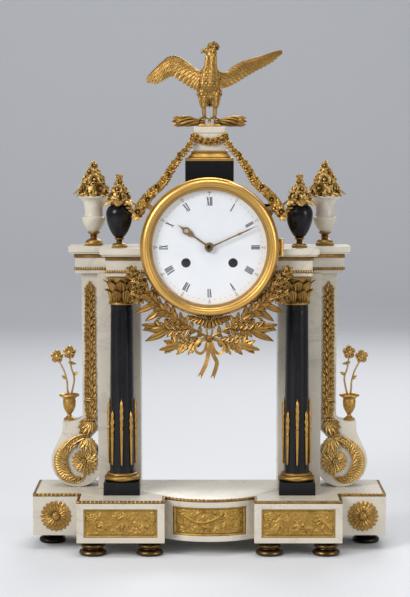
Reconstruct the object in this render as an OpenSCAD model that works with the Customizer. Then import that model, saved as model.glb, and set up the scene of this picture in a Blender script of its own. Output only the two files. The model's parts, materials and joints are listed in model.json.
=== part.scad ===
// Portico mantel clock: marble portico on a bowed base, gilt mounts, drum movement and eagle crest.
// X is to the right, Y is to the back, Z is up. The origin is on the floor under the middle. Millimetres.

/* [Base] */
// Width of the base over its outer ends
base_w = 400; // [390:1:420]
// Depth of the base from front to back
base_d = 126; // [122:1:140]
// Height of the base block
base_h = 47.5; // [42:0.5:56]
// Width of each projecting block under a column
block_w = 98; // [92:1:102]
// How far the outer ends stand behind the projecting blocks
wing_setback = 41; // [34:1:46]
// How far the middle of the bowed centre stands behind the projecting blocks
bow_setback = 7; // [5:1:12]
// How far the bowed centre swells forward of its own ends
bow_rise = 18; // [10:1:22]
// Height of a foot
foot_h = 16.5; // [12:0.5:20]
// Largest radius of a foot
foot_r = 15.4; // [12:0.1:16]
// Width of the gilt edge set into the top of the base
edge_w = 3; // [2:0.5:4]
// Width of a relief plaque
plaque_w = 82; // [70:1:86]
// Height of a relief plaque
plaque_h = 32; // [26:1:34]
// Depth of the sinking that holds a plaque
plaque_t = 3; // [2:0.5:4]
// Radius of a rosette on an outer end
rosette_r = 18; // [14:0.5:19]

/* [Columns] */
// Distance between the axes of the two columns
column_span = 198; // [194:1:204]
// Distance of the column axes in front of the middle of the depth
column_fore = 11; // [8:1:14]
// Width of the square block under a column
plinth_w = 41; // [38:1:44]
// Height of the square block under a column
plinth_h = 14.5; // [12:0.5:18]
// Height of the gilt ring under a shaft
ring_h = 9.5; // [8:0.5:12]
// Height of a shaft
shaft_h = 191; // [176:1:210]
// Radius of a shaft at its foot
shaft_foot_r = 14.4; // [13.5:0.1:15.5]
// Radius of a shaft at its top
shaft_top_r = 12.5; // [11.5:0.1:13.2]
// Radius of a flute
flute_r = 2.2; // [1.8:0.1:2.6]
// Height of a capital
capital_h = 33; // [30:1:36]
// Length of a tall gilt spindle in a flute
spindle_l = 77; // [60:1:90]
// How much shorter every second spindle is
spindle_drop = 14; // [8:1:20]

/* [Piers] */
// Width of the pier behind a column
pier_w = 49; // [46:1:52]
// Depth of the pier behind a column
pier_d = 41; // [38:1:44]
// Width of the upright of a scrolled console
console_w = 18.5; // [16:0.5:21]
// Thickness of a console from front to back
console_d = 31; // [28:1:34]
// Radius of the scroll at the foot of a console
scroll_r = 30.5; // [29:0.5:31]
// Height of a console's shoulder above the base
shoulder_h = 76; // [72:1:84]

/* [Entablature] */
// Height of the architrave
architrave_h = 4; // [3:0.5:6]
// Height of the lower gilt band
low_band_h = 2.5; // [2:0.5:4]
// Height of the frieze
frieze_h = 11.5; // [10:0.5:14]
// Height of the upper gilt band
high_band_h = 4.5; // [3:0.5:6]
// Height of the cornice
cornice_h = 8.5; // [7:0.5:11]
// How far the cornice stands out over the frieze
cornice_reach = 7; // [5:0.5:8]
// Thickness of the gilt bands, let into the marble by this much
band_t = 2; // [1.5:0.5:3]

/* [Clock head] */
// Outer radius of the bezel
bezel_r = 77; // [76:0.5:79]
// Radius of the dial that shows inside the bezel
sight_r = 63.3; // [61:0.1:66]
// Depth of the bezel from back to front
bezel_depth = 12.5; // [11.5:0.5:15]
// Outer radius of the drum
drum_r = 72; // [71:0.5:73]
// Wall of the drum
drum_wall = 2.5; // [2:0.5:3]
// Height of the dial's middle above the cornice
dial_lift = 2.4; // [0:0.2:6]
// Thickness of the enamel dial
dial_t = 2; // [1.5:0.1:2.4]
// Length of the minute hand from its axis
minute_l = 60; // [54:0.5:61]
// Length of the hour hand from its axis
hour_l = 44; // [38:0.5:47]
// Sideways distance of a winding square from the middle
wind_x = 26; // [25:0.5:28]
// Distance of the winding squares below the middle
wind_drop = 17.2; // [16:0.1:19]
// Radius of a winding hole
wind_hole_r = 4.7; // [4.2:0.1:5.4]

/* [Crest] */
// Width of the black block over the drum
crest_w = 54; // [50:1:58]
// Depth of the black block over the drum
crest_d = 50; // [44:1:56]
// Height of the black block above the crown of the drum
crest_h = 23; // [20:1:28]
// Height of the gilt moulding on the black block
mould_h = 11; // [9:0.5:13]
// Width of the eagle's pedestal
pedestal_w = 35.5; // [33:0.5:37]
// Height of the eagle's pedestal
pedestal_h = 27; // [24:0.5:31]
// Height of the eagle
eagle_h = 95; // [84:1:104]

/* [Urns] */
// Distance of a white urn from the middle
white_urn_x = 132.5; // [131:0.5:135]
// Height of a white urn above its foot
white_urn_h = 41; // [38:0.5:45]
// Radius of a white urn's rim
white_urn_r = 18.5; // [16.5:0.5:19]
// Distance of a black urn from the middle
black_urn_x = 101.5; // [100:0.5:103]
// Height of a black urn above its foot
black_urn_h = 36.5; // [33:0.5:40]
// Radius of a black urn's belly
black_urn_r = 15; // [13.5:0.5:15.5]
// Height of the bunch of roses in a white urn
white_bunch_h = 47; // [40:0.5:52]
// Height of the bunch of leaves on a black urn
black_bunch_h = 38; // [32:0.5:44]
// Height of a small vase on a console's shoulder
vase_h = 30; // [26:0.5:34]

/* [Movement] */
// Radius of the movement's plates
plate_r = 52; // [51:0.5:54]
// Thickness of a plate
plate_t = 2; // [1.5:0.1:2.5]
// Space between the two plates
plate_gap = 32; // [30:0.5:34]
// Radius of a spring barrel
barrel_r = 19; // [17:0.5:19]
// Length of the pendulum down to the middle of its bob
pendulum_l = 88; // [80:1:92]
// Radius of the pendulum's bob
bob_r = 14; // [11:0.5:15]
// Radius of the bell
bell_r = 30; // [27:0.5:31]

/* [Fits] */
// Clearance of a turning pin in its hole
run_fit = 0.05; // [0.03:0.01:0.09]
// Gap left where two separate pieces come close without bearing
ease = 0.3; // [0.2:0.05:0.5]

/* [Hidden] */
$fn = 48;

// Colours
white_marble = [0.90, 0.87, 0.80];
black_marble = [0.07, 0.06, 0.07];
gilt = [0.85, 0.62, 0.24];
brass = [0.74, 0.58, 0.30];
steel = [0.45, 0.46, 0.48];
bronze = [0.20, 0.15, 0.10];
enamel = [0.92, 0.94, 0.97];
glass = [0.85, 0.92, 0.95, 0.35];

// Plan of the base
base_front = -base_d / 2;
base_back = base_d / 2;
base_top = foot_h + base_h;
column_x = column_span / 2;
column_y = -column_fore;
bow_half = column_x - block_w / 2;
bow_front = base_front + bow_setback;
bow_r = (bow_half * bow_half + bow_rise * bow_rise) / (2 * bow_rise);
plaque_z = foot_h + (base_h - edge_w) / 2;
wing_front = base_front + wing_setback;
wing_x = (base_w / 2 + column_x + block_w / 2) / 2;

// Levels of the portico
ring_z = base_top + plinth_h;
shaft_z = ring_z + ring_h;
capital_z = shaft_z + shaft_h;
portico_top = capital_z + capital_h;
shaft_lean = atan((shaft_foot_r - shaft_top_r) / shaft_h);
flute_out = 0.9;
flute_z = 6;
flute_n = 8;
abacus_w = 34;
abacus_h = 3;

// Piers and consoles
pier_in = column_x - plinth_w / 2;
pier_out = pier_in + pier_w;
pier_front = column_y + plinth_w / 2;
pier_back = pier_front + pier_d;
console_back = pier_back;
console_front = console_back - console_d;
scroll_x = pier_out + 0.8 * scroll_r;
scroll_z = base_top + scroll_r;
shoulder_z = base_top + shoulder_h;
shoulder_x = scroll_x + 17.5;
upright_x = pier_out + console_w;
shoulder_fillet = 9;
vase_x = (shoulder_x + upright_x + shoulder_fillet) / 2;
vase_y = (console_front + console_back) / 2;

// Entablature: an inner part over the column and an outer part over the console
frieze_in_x = column_x + 16;
frieze_in_y = column_y - 22;
frieze_out_x = upright_x + 7;
frieze_out_y = console_front - 6.5;
low_band_z = portico_top + architrave_h;
frieze_z = low_band_z + low_band_h;
high_band_z = frieze_z + frieze_h;
cornice_z = high_band_z + high_band_h;
cornice_top = cornice_z + cornice_h;

// Clock head. Depths are measured to the front of the middle, so that +d lies at Y = -d
dial_z = cornice_top + dial_lift;
laid_out = bezel_r / 77;
function rim(share) = sight_r + share * (bezel_r - sight_r);
flange_t = 3;
flange_r = bezel_r - 1;
flange_back = -(frieze_in_y - cornice_reach) + 2 * ease;
flange_front = flange_back + flange_t;
dial_front = flange_front + dial_t;
dial_edge_r = rim(0.343);
bezel_back = flange_front + ease;
bezel_front = bezel_back + bezel_depth;
drum_back = -(pier_back + 1.5);
hinge_x = bezel_r + 3;
hinge_d = bezel_back + 1;
knuckle_r = 2.4;
hinge_pin_r = 1;
knuckle_h = 8;
seat_r = drum_r + ease / 3;
rear_hinge_x = drum_r + 3;
rear_hinge_d = drum_back - 1.5;
glass_r = rim(0.235);
glass_t = 1.6;
glass_seat = bezel_back + 8;
glass_rise = 6;

// Movement
front_plate = flange_front - 7.3;
back_plate = front_plate - plate_t - plate_gap;
plate_rear = back_plate - plate_t;
wind_r = 3;
wind_square = 4.2;
centre_r = 1.5;
cannon_r = 2.3;
hour_pipe_r = 3.4;
tab_angles = [-90, -38, -142, 34, 146];
swing_h = 46;
swing_z = dial_z + swing_h;
pallet_r = 1;
swing_r = 1.2;
hammer_r = 1.5;
stud_r = 0.9;
swing_d = plate_rear - 13;
motion_c = 12;
wheel_t = 1.2;
cannon_teeth = 12;
minute_teeth = 36;
minute_pinion_teeth = 10;
hour_teeth = 40;
motion_turn = -60;
tie_r = 2.5;
tie_hole_r = tie_r + ease;
tie_y = (pier_front + pier_back) / 2;
tie_x = (pier_in + pier_out) / 2;
hammer_x = -(bell_r + 12);
hammer_z = dial_z - 26;
bell_d = plate_rear - 20;

// Crest
crest_top = dial_z + drum_r + crest_h;
mould_top = crest_top + mould_h;
pedestal_top = mould_top + pedestal_h;
crest_bolt_z = dial_z + drum_r - drum_wall;
bird = eagle_h / 95;

// Urns
white_urn_y = (frieze_out_y + pier_back) / 2;
white_foot_h = 15.5;
urn_floor = 0.86;
black_urn_y = column_y + 6;
black_foot_h = 10.5;

// A pair of children, one on each side of the middle
module pair() {
  children();
  mirror([1, 0, 0]) children();
}

// Turns a profile drawn as [radius, depth] about the dial's axis, with depth towards the front
module about_dial() {
  translate([0, 0, dial_z]) rotate([90, 0, 0]) rotate_extrude($fn = 96) children();
}

// A round bar along the dial's axis from depth d0 to depth d1, at x and z from the dial's middle
module bar(x, z, d0, d1, r) {
  translate([x, -d0, dial_z + z]) rotate([90, 0, 0]) cylinder(r = r, h = d1 - d0);
}

// A six-cornered gem with base, tip, two sides, a face and a back: the seed of each leaf and petal
module gem(b, t, l, r, f, k) {
  hull() polyhedron(points = [b, t, l, r, f, k],
    faces = [[0, 2, 4], [2, 1, 4], [1, 3, 4], [3, 0, 4], [2, 0, 5], [1, 2, 5], [3, 1, 5], [0, 3, 5]]);
}

// A leaf that lies along +X with its face to the front
module leaf(l, w, t) {
  gem([0, 0, 0], [l, 0, 0], [0.42 * l, 0, w / 2], [0.42 * l, 0, -w / 2],
    [0.4 * l, -t, 0], [0.4 * l, 0.5 * t, 0]);
}

// A leaf at p turned by a degrees anticlockwise as seen from the front
module leaf_at(p, a, l, w, t) {
  translate(p) rotate([0, -a, 0]) leaf(l, w, t);
}

// A leaf that starts at p and points along polar angle v from up and azimuth u
module leaf_to(p, u, v, l, w, t) {
  translate(p) rotate([0, 0, u]) rotate([0, v - 90, 0]) rotate([90, 0, 0]) leaf(l, w, t);
}

// A blossom of radius r at p that faces along polar angle v and azimuth u: a cup of petals and a heart
module blossom(p, u, v, r) {
  translate(p) rotate([0, 0, u]) rotate([0, v, 0]) {
    hull() cylinder(r1 = 0.4 * r, r2 = r, h = 0.45 * r, $fn = 6);
    rotate([0, 0, 30]) hull() cylinder(r1 = 0.75 * r, r2 = 0.3 * r, h = 0.85 * r, $fn = 6);
  }
}

// A rod of a few sides from a to b
module twig(a, b, ra, rb, sides = 6) {
  hull() {
    translate(a) sphere(r = ra, $fn = sides);
    translate(b) sphere(r = rb, $fn = sides);
  }
}

// A twig through all points of a list
module branch(pts, ra, rb) {
  n = len(pts) - 1;
  for (i = [0 : n - 1])
    twig(pts[i], pts[i + 1], ra + (rb - ra) * i / n, ra + (rb - ra) * (i + 1) / n, 4);
}

// The plan of the base, drawn in on the front and the ends, carried up from z by h
module base_form(inset, z, h, tail = 0) {
  translate([-base_w / 2 + inset, wing_front + inset, z])
    cube([base_w - 2 * inset, base_back + tail - wing_front - inset, h]);
  pair() translate([bow_half + inset, base_front + inset, z])
    cube([block_w - 2 * inset, base_d + tail - inset, h]);
  intersection() {
    translate([-bow_half - inset, bow_front - 1, z])
      cube([2 * (bow_half + inset), base_back + tail + 1 - bow_front, h]);
    translate([0, bow_front + bow_r, z]) cylinder(r = bow_r - inset, h = h, $fn = 160);
  }
}

// A block that reaches from before the base front to a depth behind it, as wide and high as a plaque
module plaque_box(x, grow, deep) {
  translate([x - plaque_w / 2 - grow, base_front - 1, plaque_z - plaque_h / 2 - grow])
    cube([plaque_w + 2 * grow, 1 + deep, plaque_h + 2 * grow]);
}

// The curved slab of the middle plaque
module bow_slab(grow, out, deep) {
  intersection() {
    plaque_box(0, grow, 60);
    translate([0, bow_front + bow_r, 0]) difference() {
      cylinder(r = bow_r + out, h = base_top, $fn = 160);
      translate([0, 0, -1]) cylinder(r = bow_r - deep, h = base_top + 2, $fn = 160);
    }
  }
}

module base_plinth() {
  color(white_marble) difference() {
    union() {
      base_form(0, foot_h, base_h - edge_w);
      base_form(edge_w, base_top - edge_w, edge_w);
    }
    pair() plaque_box(column_x, 0, plaque_t);
    bow_slab(0, 2, plaque_t);
    pair() translate([tie_x, tie_y, foot_h - 1]) cylinder(r = tie_hole_r, h = base_h + 2);
    pair() translate([tie_x, tie_y, foot_h - 1]) cylinder(r = 4 * tie_r, h = 1 + 8);
  }
}

module base_edging() {
  color(gilt) difference() {
    base_form(0, base_top - edge_w, edge_w);
    base_form(edge_w, base_top - edge_w - 1, edge_w + 2, 1);
  }
}

module foot() {
  rotate_extrude() polygon([[0, 0], [0.86 * foot_r, 0], [foot_r, 0.12 * foot_h], [foot_r, 0.26 * foot_h],
    [0.84 * foot_r, 0.4 * foot_h], [0.7 * foot_r, 0.46 * foot_h], [0.86 * foot_r, 0.58 * foot_h],
    [0.9 * foot_r, 0.68 * foot_h], [0.82 * foot_r, 0.78 * foot_h], [0.62 * foot_r, 0.82 * foot_h],
    [0.62 * foot_r, foot_h], [0, foot_h]]);
}

module bun_feet() {
  color(bronze) pair() {
    for (x = [column_x - 0.325 * block_w, column_x + 0.325 * block_w])
      translate([x, base_front + foot_r + 3.3, 0]) foot();
    translate([base_w / 2 - foot_r - 3.3, (wing_front + base_back) / 2, 0]) foot();
    translate([column_x - 0.325 * block_w, base_back - foot_r - 3.3, 0]) foot();
  }
}

// A flat plaque with a raised border
module plaque(x) {
  color(gilt) difference() {
    intersection() {
      plaque_box(x, 0, plaque_t);
      translate([x - plaque_w, base_front + 0.4, foot_h]) cube([2 * plaque_w, plaque_t, base_h]);
    }
    translate([x - plaque_w / 2 + 3, base_front, plaque_z - plaque_h / 2 + 3])
      cube([plaque_w - 6, 1.4, plaque_h - 6]);
  }
}

module left_plaque() {
  plaque(-column_x);
}

module right_plaque() {
  plaque(column_x);
}

module centre_plaque() {
  color(gilt) difference() {
    bow_slab(0, -0.4, plaque_t);
    bow_slab(-3, 0, 1.4);
  }
}

module rosette() {
  for (i = [0 : 15])
    rotate([0, i * 22.5, 0])
      gem([5, 0, 0], [rosette_r, -1, 0], [0.78 * rosette_r, -1, 2.7], [0.78 * rosette_r, -1, -2.7],
        [0.74 * rosette_r, -3.5, 0], [0.74 * rosette_r, 0, 0]);
  rotate([90, 0, 0]) cylinder(r1 = 8, r2 = 3, h = 4.5, $fn = 8);
}

module base_rosettes() {
  color(gilt) pair() translate([wing_x, wing_front, plaque_z]) rosette();
}

module piers() {
  color(white_marble) pair() difference() {
    translate([pier_in, pier_front, base_top]) cube([pier_w, pier_d, portico_top - base_top]);
    translate([tie_x, tie_y, base_top - 1]) cylinder(r = tie_hole_r, h = portico_top - base_top + 2);
  }
}

// Outline of a console: scroll, shoulder, upright and the hollow beside the pier
function scroll_edge(a) = scroll_r * min(1, 0.76 + 0.24 * (a - 117) / 110);
function console_outline() = concat(
  [for (a = [117 : 8 : 381])
    [max(pier_out, scroll_x + scroll_edge(a) * cos(a)), scroll_z + scroll_edge(a) * sin(a)]],
  [[shoulder_x + 0.6, shoulder_z - 13], [shoulder_x, shoulder_z - 7], [shoulder_x, shoulder_z]],
  [for (a = [270 : -15 : 180])
    [upright_x + shoulder_fillet * (1 + cos(a)), shoulder_z + shoulder_fillet * (1 + sin(a))]],
  [[upright_x, portico_top], [pier_out, portico_top], [pier_out, shoulder_z - 9],
    [pier_out + 4, shoulder_z - 13], [pier_out + 9, shoulder_z - 18.5]]);

module console() {
  translate([0, console_back, 0]) rotate([90, 0, 0]) linear_extrude(console_d) polygon(console_outline());
}

module left_console() {
  color(white_marble) mirror([1, 0, 0]) console();
}

module right_console() {
  color(white_marble) console();
}

// Gilt foliage on the face of a console: a chain of laurel, a leafy stem, and a scroll round a rosette
module console_foliage() {
  mid_x = (pier_out + upright_x) / 2;
  top_z = portico_top - 22;
  low_z = shoulder_z + 10;
  step = (top_z - low_z) / 11;
  y = console_front;
  color(gilt) difference() {
    union() {
      branch([[mid_x, y, top_z + 8], [mid_x, y, low_z], [mid_x + 2, y, shoulder_z - 4],
        [mid_x + 7, y, shoulder_z - 15]], 2.6, 2.6);
      branch([for (a = [70 : -32 : -154]) [scroll_x + 21.5 * cos(a), y, scroll_z + 21.5 * sin(a)]], 3.2, 2);
      for (i = [0 : 11])
        for (s = [-1, 1])
          leaf_at([mid_x, y - 1, low_z + i * step], 90 + s * 36, 12, 6, 2.4);
      for (a = [-60, -20, 20, 60])
        leaf_at([mid_x + 3, y - 1, shoulder_z - 9], a - 50, 17, 8, 2.6);
      for (a = [200, 160, 120, 235])
        leaf_at([scroll_x + 3, y, scroll_z - 3], a, 21, 9, 2.6);
      for (i = [0 : 7])
        leaf_at([scroll_x, y - 1, scroll_z], i * 45, 10, 6, 3.4);
      translate([scroll_x, y, scroll_z]) rotate([90, 0, 0]) cylinder(r1 = 4.5, r2 = 2, h = 5.5, $fn = 8);
    }
    translate([pier_in, console_front, base_top]) cube([base_w, console_d, portico_top]);
  }
}

module left_console_foliage() {
  mirror([1, 0, 0]) console_foliage();
}

module right_console_foliage() {
  console_foliage();
}

// Places children on the axes of the flutes, with Z along the flute
module on_flutes(start, step) {
  for (i = [start : step : flute_n - 1])
    rotate([0, 0, i * 360 / flute_n - 90])
      translate([shaft_foot_r + flute_out - flute_z * tan(shaft_lean), 0, flute_z])
        rotate([0, -shaft_lean, 0]) children();
}

module column() {
  translate([column_x, column_y, shaft_z]) difference() {
    cylinder(r1 = shaft_foot_r, r2 = shaft_top_r, h = shaft_h);
    on_flutes(0, 1) cylinder(r = flute_r, h = shaft_h - 2 * flute_z);
  }
}

module left_column() {
  color(black_marble) mirror([1, 0, 0]) column();
}

module right_column() {
  color(black_marble) column();
}

module column_plinths() {
  color(black_marble) pair() translate([column_x - plinth_w / 2, column_y - plinth_w / 2, base_top])
    cube([plinth_w, plinth_w, plinth_h]);
}

module column_rings() {
  color(gilt) pair() translate([column_x, column_y, ring_z]) rotate_extrude() {
    square([plinth_w / 2 - 3, ring_h]);
    translate([plinth_w / 2 - 3.6, 0.34 * ring_h]) circle(r = 0.33 * ring_h, $fn = 32);
    translate([plinth_w / 2 - 4.4, 0.82 * ring_h]) circle(r = 0.17 * ring_h, $fn = 32);
  }
}

// A gilt spindle: a reed that swells upwards, a ring, a wrapped bud and a pointed tip
module spindle(l) {
  r = flute_r - ease / 2;
  rotate_extrude($fn = 24) polygon([[0, 0], [0.5 * r, 0.6], [0.95 * r, 0.52 * l], [0.7 * r, 0.53 * l],
    [0.7 * r, 0.55 * l], [r, 0.57 * l], [0.95 * r, 0.8 * l], [0.6 * r, 0.92 * l], [0, l]]);
}

module column_spindles() {
  color(gilt) pair() translate([column_x, column_y, shaft_z]) {
    on_flutes(0, 2) translate([0, 0, 3]) spindle(spindle_l);
    on_flutes(1, 2) translate([0, 0, 3]) spindle(spindle_l - spindle_drop);
  }
}

// A palm capital: bell, two rows of curling leaves and a square top
module capital() {
  color(gilt) translate([column_x, column_y, capital_z]) {
    rotate_extrude($fn = 12) polygon([[0, 0], [shaft_top_r + 1.2, 0], [shaft_top_r + 1.2, 2.5],
      [shaft_top_r - 0.5, 4], [shaft_top_r + 0.5, 0.6 * capital_h], [shaft_top_r + 4, capital_h - abacus_h],
      [0, capital_h - abacus_h]]);
    for (i = [0 : 7])
      rotate([0, 0, i * 45])
        translate([shaft_top_r - 1, 0, 3])
          gem([0, 0, 0], [9, 0, capital_h - 6], [3, 6, 0.62 * capital_h], [3, -6, 0.62 * capital_h],
            [5.5, 0, 0.7 * capital_h], [0, 0, 0.7 * capital_h]);
    for (i = [0 : 7])
      rotate([0, 0, 22.5 + i * 45])
        translate([shaft_top_r - 0.5, 0, 3])
          gem([0, 0, 0], [6.5, 0, 0.55 * capital_h], [2.5, 4.5, 0.34 * capital_h],
            [2.5, -4.5, 0.34 * capital_h], [4, 0, 0.4 * capital_h], [0, 0, 0.4 * capital_h]);
    translate([-abacus_w / 2, -abacus_w / 2, capital_h - abacus_h]) cube([abacus_w, abacus_w, abacus_h]);
  }
}

module left_capital() {
  mirror([1, 0, 0]) capital();
}

module right_capital() {
  capital();
}

// The plan of an entablature half on the right, grown on its front and its outer ends
module entablature_form(grow, z, h) {
  difference() {
    union() {
      translate([0, frieze_in_y - grow, z])
        cube([frieze_in_x + grow, pier_back - frieze_in_y + grow, h]);
      translate([0, frieze_out_y - grow, z])
        cube([frieze_out_x + grow, pier_back - frieze_out_y + grow, h]);
    }
    translate([-1, -base_d, z - 1]) cube([0.5 * drum_r, 2 * base_d, h + 2]);
    bar(0, 0, -base_d, base_d, seat_r, $fn = 96);
  }
}

module entablature() {
  difference() {
    union() {
      entablature_form(0, portico_top, architrave_h);
      entablature_form(-band_t, low_band_z, low_band_h);
      entablature_form(0, frieze_z, frieze_h);
      entablature_form(-band_t, high_band_z, high_band_h);
    }
    translate([tie_x, tie_y, portico_top - 1]) cylinder(r = tie_r + run_fit, h = architrave_h + frieze_h);
  }
}

module left_entablature() {
  color(white_marble) mirror([1, 0, 0]) entablature();
}

module right_entablature() {
  color(white_marble) entablature();
}

module band(z, h) {
  difference() {
    entablature_form(1, z, h);
    translate([0, frieze_in_y + band_t, z - 1]) cube([frieze_in_x - band_t, base_d, h + 2]);
    translate([0, frieze_out_y + band_t, z - 1]) cube([frieze_out_x - band_t, base_d, h + 2]);
  }
}

module entablature_bands() {
  color(gilt) pair() {
    band(low_band_z, low_band_h);
    band(high_band_z, high_band_h);
  }
}

module cornice() {
  entablature_form(cornice_reach - 2, cornice_z, 0.25 * cornice_h);
  entablature_form(cornice_reach, cornice_z + 0.25 * cornice_h, 0.75 * cornice_h);
}

module left_cornice() {
  color(white_marble) mirror([1, 0, 0]) cornice();
}

module right_cornice() {
  color(white_marble) cornice();
}

// Iron rods that draw each pier together, and the bolt through the crest
module tie_rods() {
  color(steel) {
    pair() translate([tie_x, tie_y, 0]) {
      translate([0, 0, foot_h + 3]) cylinder(r = tie_r, h = frieze_z + frieze_h - 6 - foot_h - 3);
      translate([0, 0, foot_h + 4]) cylinder(r = 2.4 * tie_r, h = 4, $fn = 6);
    }
    translate([0, 0, crest_bolt_z - 5]) cylinder(r = tie_r, h = pedestal_top - 6 - crest_bolt_z + 5);
    translate([0, 0, crest_bolt_z - 4.5]) cylinder(r = 2.4 * tie_r, h = 4, $fn = 6);
  }
}

module white_urns() {
  r = white_urn_r;
  h = white_urn_h;
  color(white_marble) pair() translate([white_urn_x, white_urn_y, cornice_top + white_foot_h])
    rotate_extrude() polygon([[0, 0], [0.3 * r, 0], [0.48 * r, 0.1 * h], [0.64 * r, 0.22 * h],
      [0.73 * r, 0.36 * h], [0.73 * r, 0.41 * h], [0.6 * r, 0.43 * h], [0.57 * r, 0.6 * h],
      [0.62 * r, 0.78 * h], [0.74 * r, 0.88 * h], [0.96 * r, 0.95 * h], [r, 0.97 * h], [r, h],
      [0.84 * r, h], [0.6 * r, urn_floor * h], [0, urn_floor * h]]);
}

module black_urns() {
  r = black_urn_r;
  h = black_urn_h;
  color(black_marble) pair() translate([black_urn_x, black_urn_y, cornice_top + black_foot_h])
    rotate_extrude() polygon([[0, 0], [0.28 * r, 0], [0.5 * r, 0.1 * h], [0.75 * r, 0.28 * h],
      [0.93 * r, 0.5 * h], [r, 0.72 * h], [0.97 * r, 0.84 * h], [0.85 * r, 0.94 * h], [0.72 * r, h], [0, h]]);
}

// A gilt foot with a square step, a waist and a cup
module urn_foot(w, h, cup) {
  translate([-w / 2, -w / 2, 0]) cube([w, w, 0.22 * h]);
  rotate_extrude() polygon([[0, 0.2 * h], [0.48 * w, 0.2 * h], [0.44 * w, 0.36 * h], [0.2 * w, 0.55 * h],
    [0.2 * w, 0.68 * h], [cup, 0.92 * h], [cup, h], [0, h]]);
}

module urn_feet() {
  color(gilt) pair() {
    translate([white_urn_x, white_urn_y, cornice_top]) urn_foot(20, white_foot_h, 0.4 * white_urn_r);
    translate([black_urn_x, black_urn_y, cornice_top]) urn_foot(17, black_foot_h, 0.4 * black_urn_r);
  }
}

// A pointed bunch of roses with leaves over the rim of the urn
module rose_bunch(h, r) {
  hull() cylinder(r1 = 0.5 * r, r2 = 0.6 * r, h = 0.42 * h, $fn = 6);
  twig([0, 0, 0.4 * h], [0, 0, 0.9 * h], 0.42 * r, 0.2 * r);
  for (i = [0 : 3]) {
    a = i * 90 - 70;
    blossom([0.5 * r * cos(a), 0.5 * r * sin(a), (0.36 + 0.08 * (i % 2)) * h], a, 68, 0.48 * r);
  }
  for (a = [-110, 60])
    blossom([0.26 * r * cos(a), 0.26 * r * sin(a), 0.66 * h], a, 55, 0.38 * r);
  blossom([0, 0, 0.88 * h], 0, 0, 0.24 * r);
  for (a = [12, 168, 275])
    leaf_to([0, 0, 0.34 * h], a, 87, 1.32 * r, 0.5 * r, 0.24 * r);
  for (a = [-30, 170])
    leaf_to([0, 0, 0.6 * h], a, 30, 0.4 * h, 0.4 * r, 0.2 * r);
}

// A spilling bunch: broad leaves over the shoulder, clusters of fruit and one open flower on top
module leaf_bunch(h, r) {
  hull() cylinder(r1 = 0.62 * r, r2 = 0.5 * r, h = 0.35 * h, $fn = 6);
  twig([0, 0, 0.3 * h], [0, 0, 0.72 * h], 0.4 * r, 0.2 * r);
  for (i = [0 : 4]) {
    a = i * 72 - 110;
    leaf_to([0.25 * r * cos(a), 0.25 * r * sin(a), 0.36 * h], a, 104, 0.98 * r, 0.7 * r, 0.26 * r);
  }
  for (a = [-58, 118])
    blossom([0.55 * r * cos(a), 0.55 * r * sin(a), 0.34 * h], a, 60, 0.46 * r);
  for (i = [0 : 3])
    leaf_to([0, 0, 0.62 * h], i * 90 - 70, 34, 0.42 * h, 0.34 * r, 0.16 * r);
  blossom([0, 0, 0.66 * h], 0, 0, 0.36 * r);
}

module white_bouquets() {
  z = cornice_top + white_foot_h + urn_floor * white_urn_h;
  color(gilt) pair() translate([white_urn_x, white_urn_y, z]) rose_bunch(white_bunch_h, 0.97 * white_urn_r);
}

module black_bouquets() {
  z = cornice_top + black_foot_h + black_urn_h;
  color(gilt) pair() translate([black_urn_x, black_urn_y, z]) leaf_bunch(black_bunch_h, black_urn_r);
}

module side_vases() {
  h = vase_h;
  color(gilt) pair() translate([vase_x, vase_y, shoulder_z])
    rotate_extrude() polygon([[0, 0], [6.6, 0], [6.6, 0.08 * h], [3, 0.2 * h], [2.4, 0.3 * h], [5, 0.42 * h],
      [7.5, 0.6 * h], [8, 0.78 * h], [11.3, 0.94 * h], [11.3, h], [9, h], [6.5, 0.85 * h], [0, 0.85 * h]]);
}

module vase_flowers() {
  z = shoulder_z + 0.85 * vase_h;
  color(gilt) pair() translate([vase_x, vase_y, z]) scale(vase_h / 30) {
    hull() cylinder(r = 3.4, h = 4, $fn = 6);
    branch([[0, 0, 1], [2, -2, 20], [13, -5, 46]], 1.1, 0.9);
    branch([[0, 0, 1], [-3, -2, 22], [-1, -5, 50]], 1.1, 0.9);
    for (p = [[13.5, -5, 49], [-1, -5, 54]]) {
      for (i = [0 : 5])
        leaf_at(p, i * 60 + p[2], 7.5, 5, 2.2);
      translate(p) rotate([90, 0, 0]) hull() cylinder(r1 = 3, r2 = 1.6, h = 3.4, $fn = 6);
    }
    leaf_at([0, -3, 42], 195, 9, 4, 1.6);
  }
}

module crest_block() {
  color(black_marble) difference() {
    translate([-crest_w / 2, -crest_d / 2, dial_z]) cube([crest_w, crest_d, drum_r + crest_h]);
    bar(0, 0, -base_d, base_d, seat_r, $fn = 96);
    translate([0, 0, dial_z]) cylinder(r = tie_hole_r, h = 2 * drum_r);
  }
}

// A step of the crest, centred on its bolt
module crest_step(w, d, z, h) {
  translate([-w / 2, -d / 2, z]) cube([w, d, h]);
}

module crest_moulding() {
  color(gilt) difference() {
    union() {
      crest_step(crest_w, crest_d, crest_top, 0.17 * mould_h);
      crest_step(crest_w - 6, crest_d - 6, crest_top + 0.17 * mould_h, 0.45 * mould_h);
      crest_step(crest_w - 9, crest_d - 9, crest_top + 0.62 * mould_h, 0.16 * mould_h);
      crest_step(pedestal_w + 2, pedestal_w + 2, crest_top + 0.78 * mould_h, 0.22 * mould_h);
    }
    translate([0, 0, crest_top - 1]) cylinder(r = tie_hole_r, h = mould_h + 2);
  }
}

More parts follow.
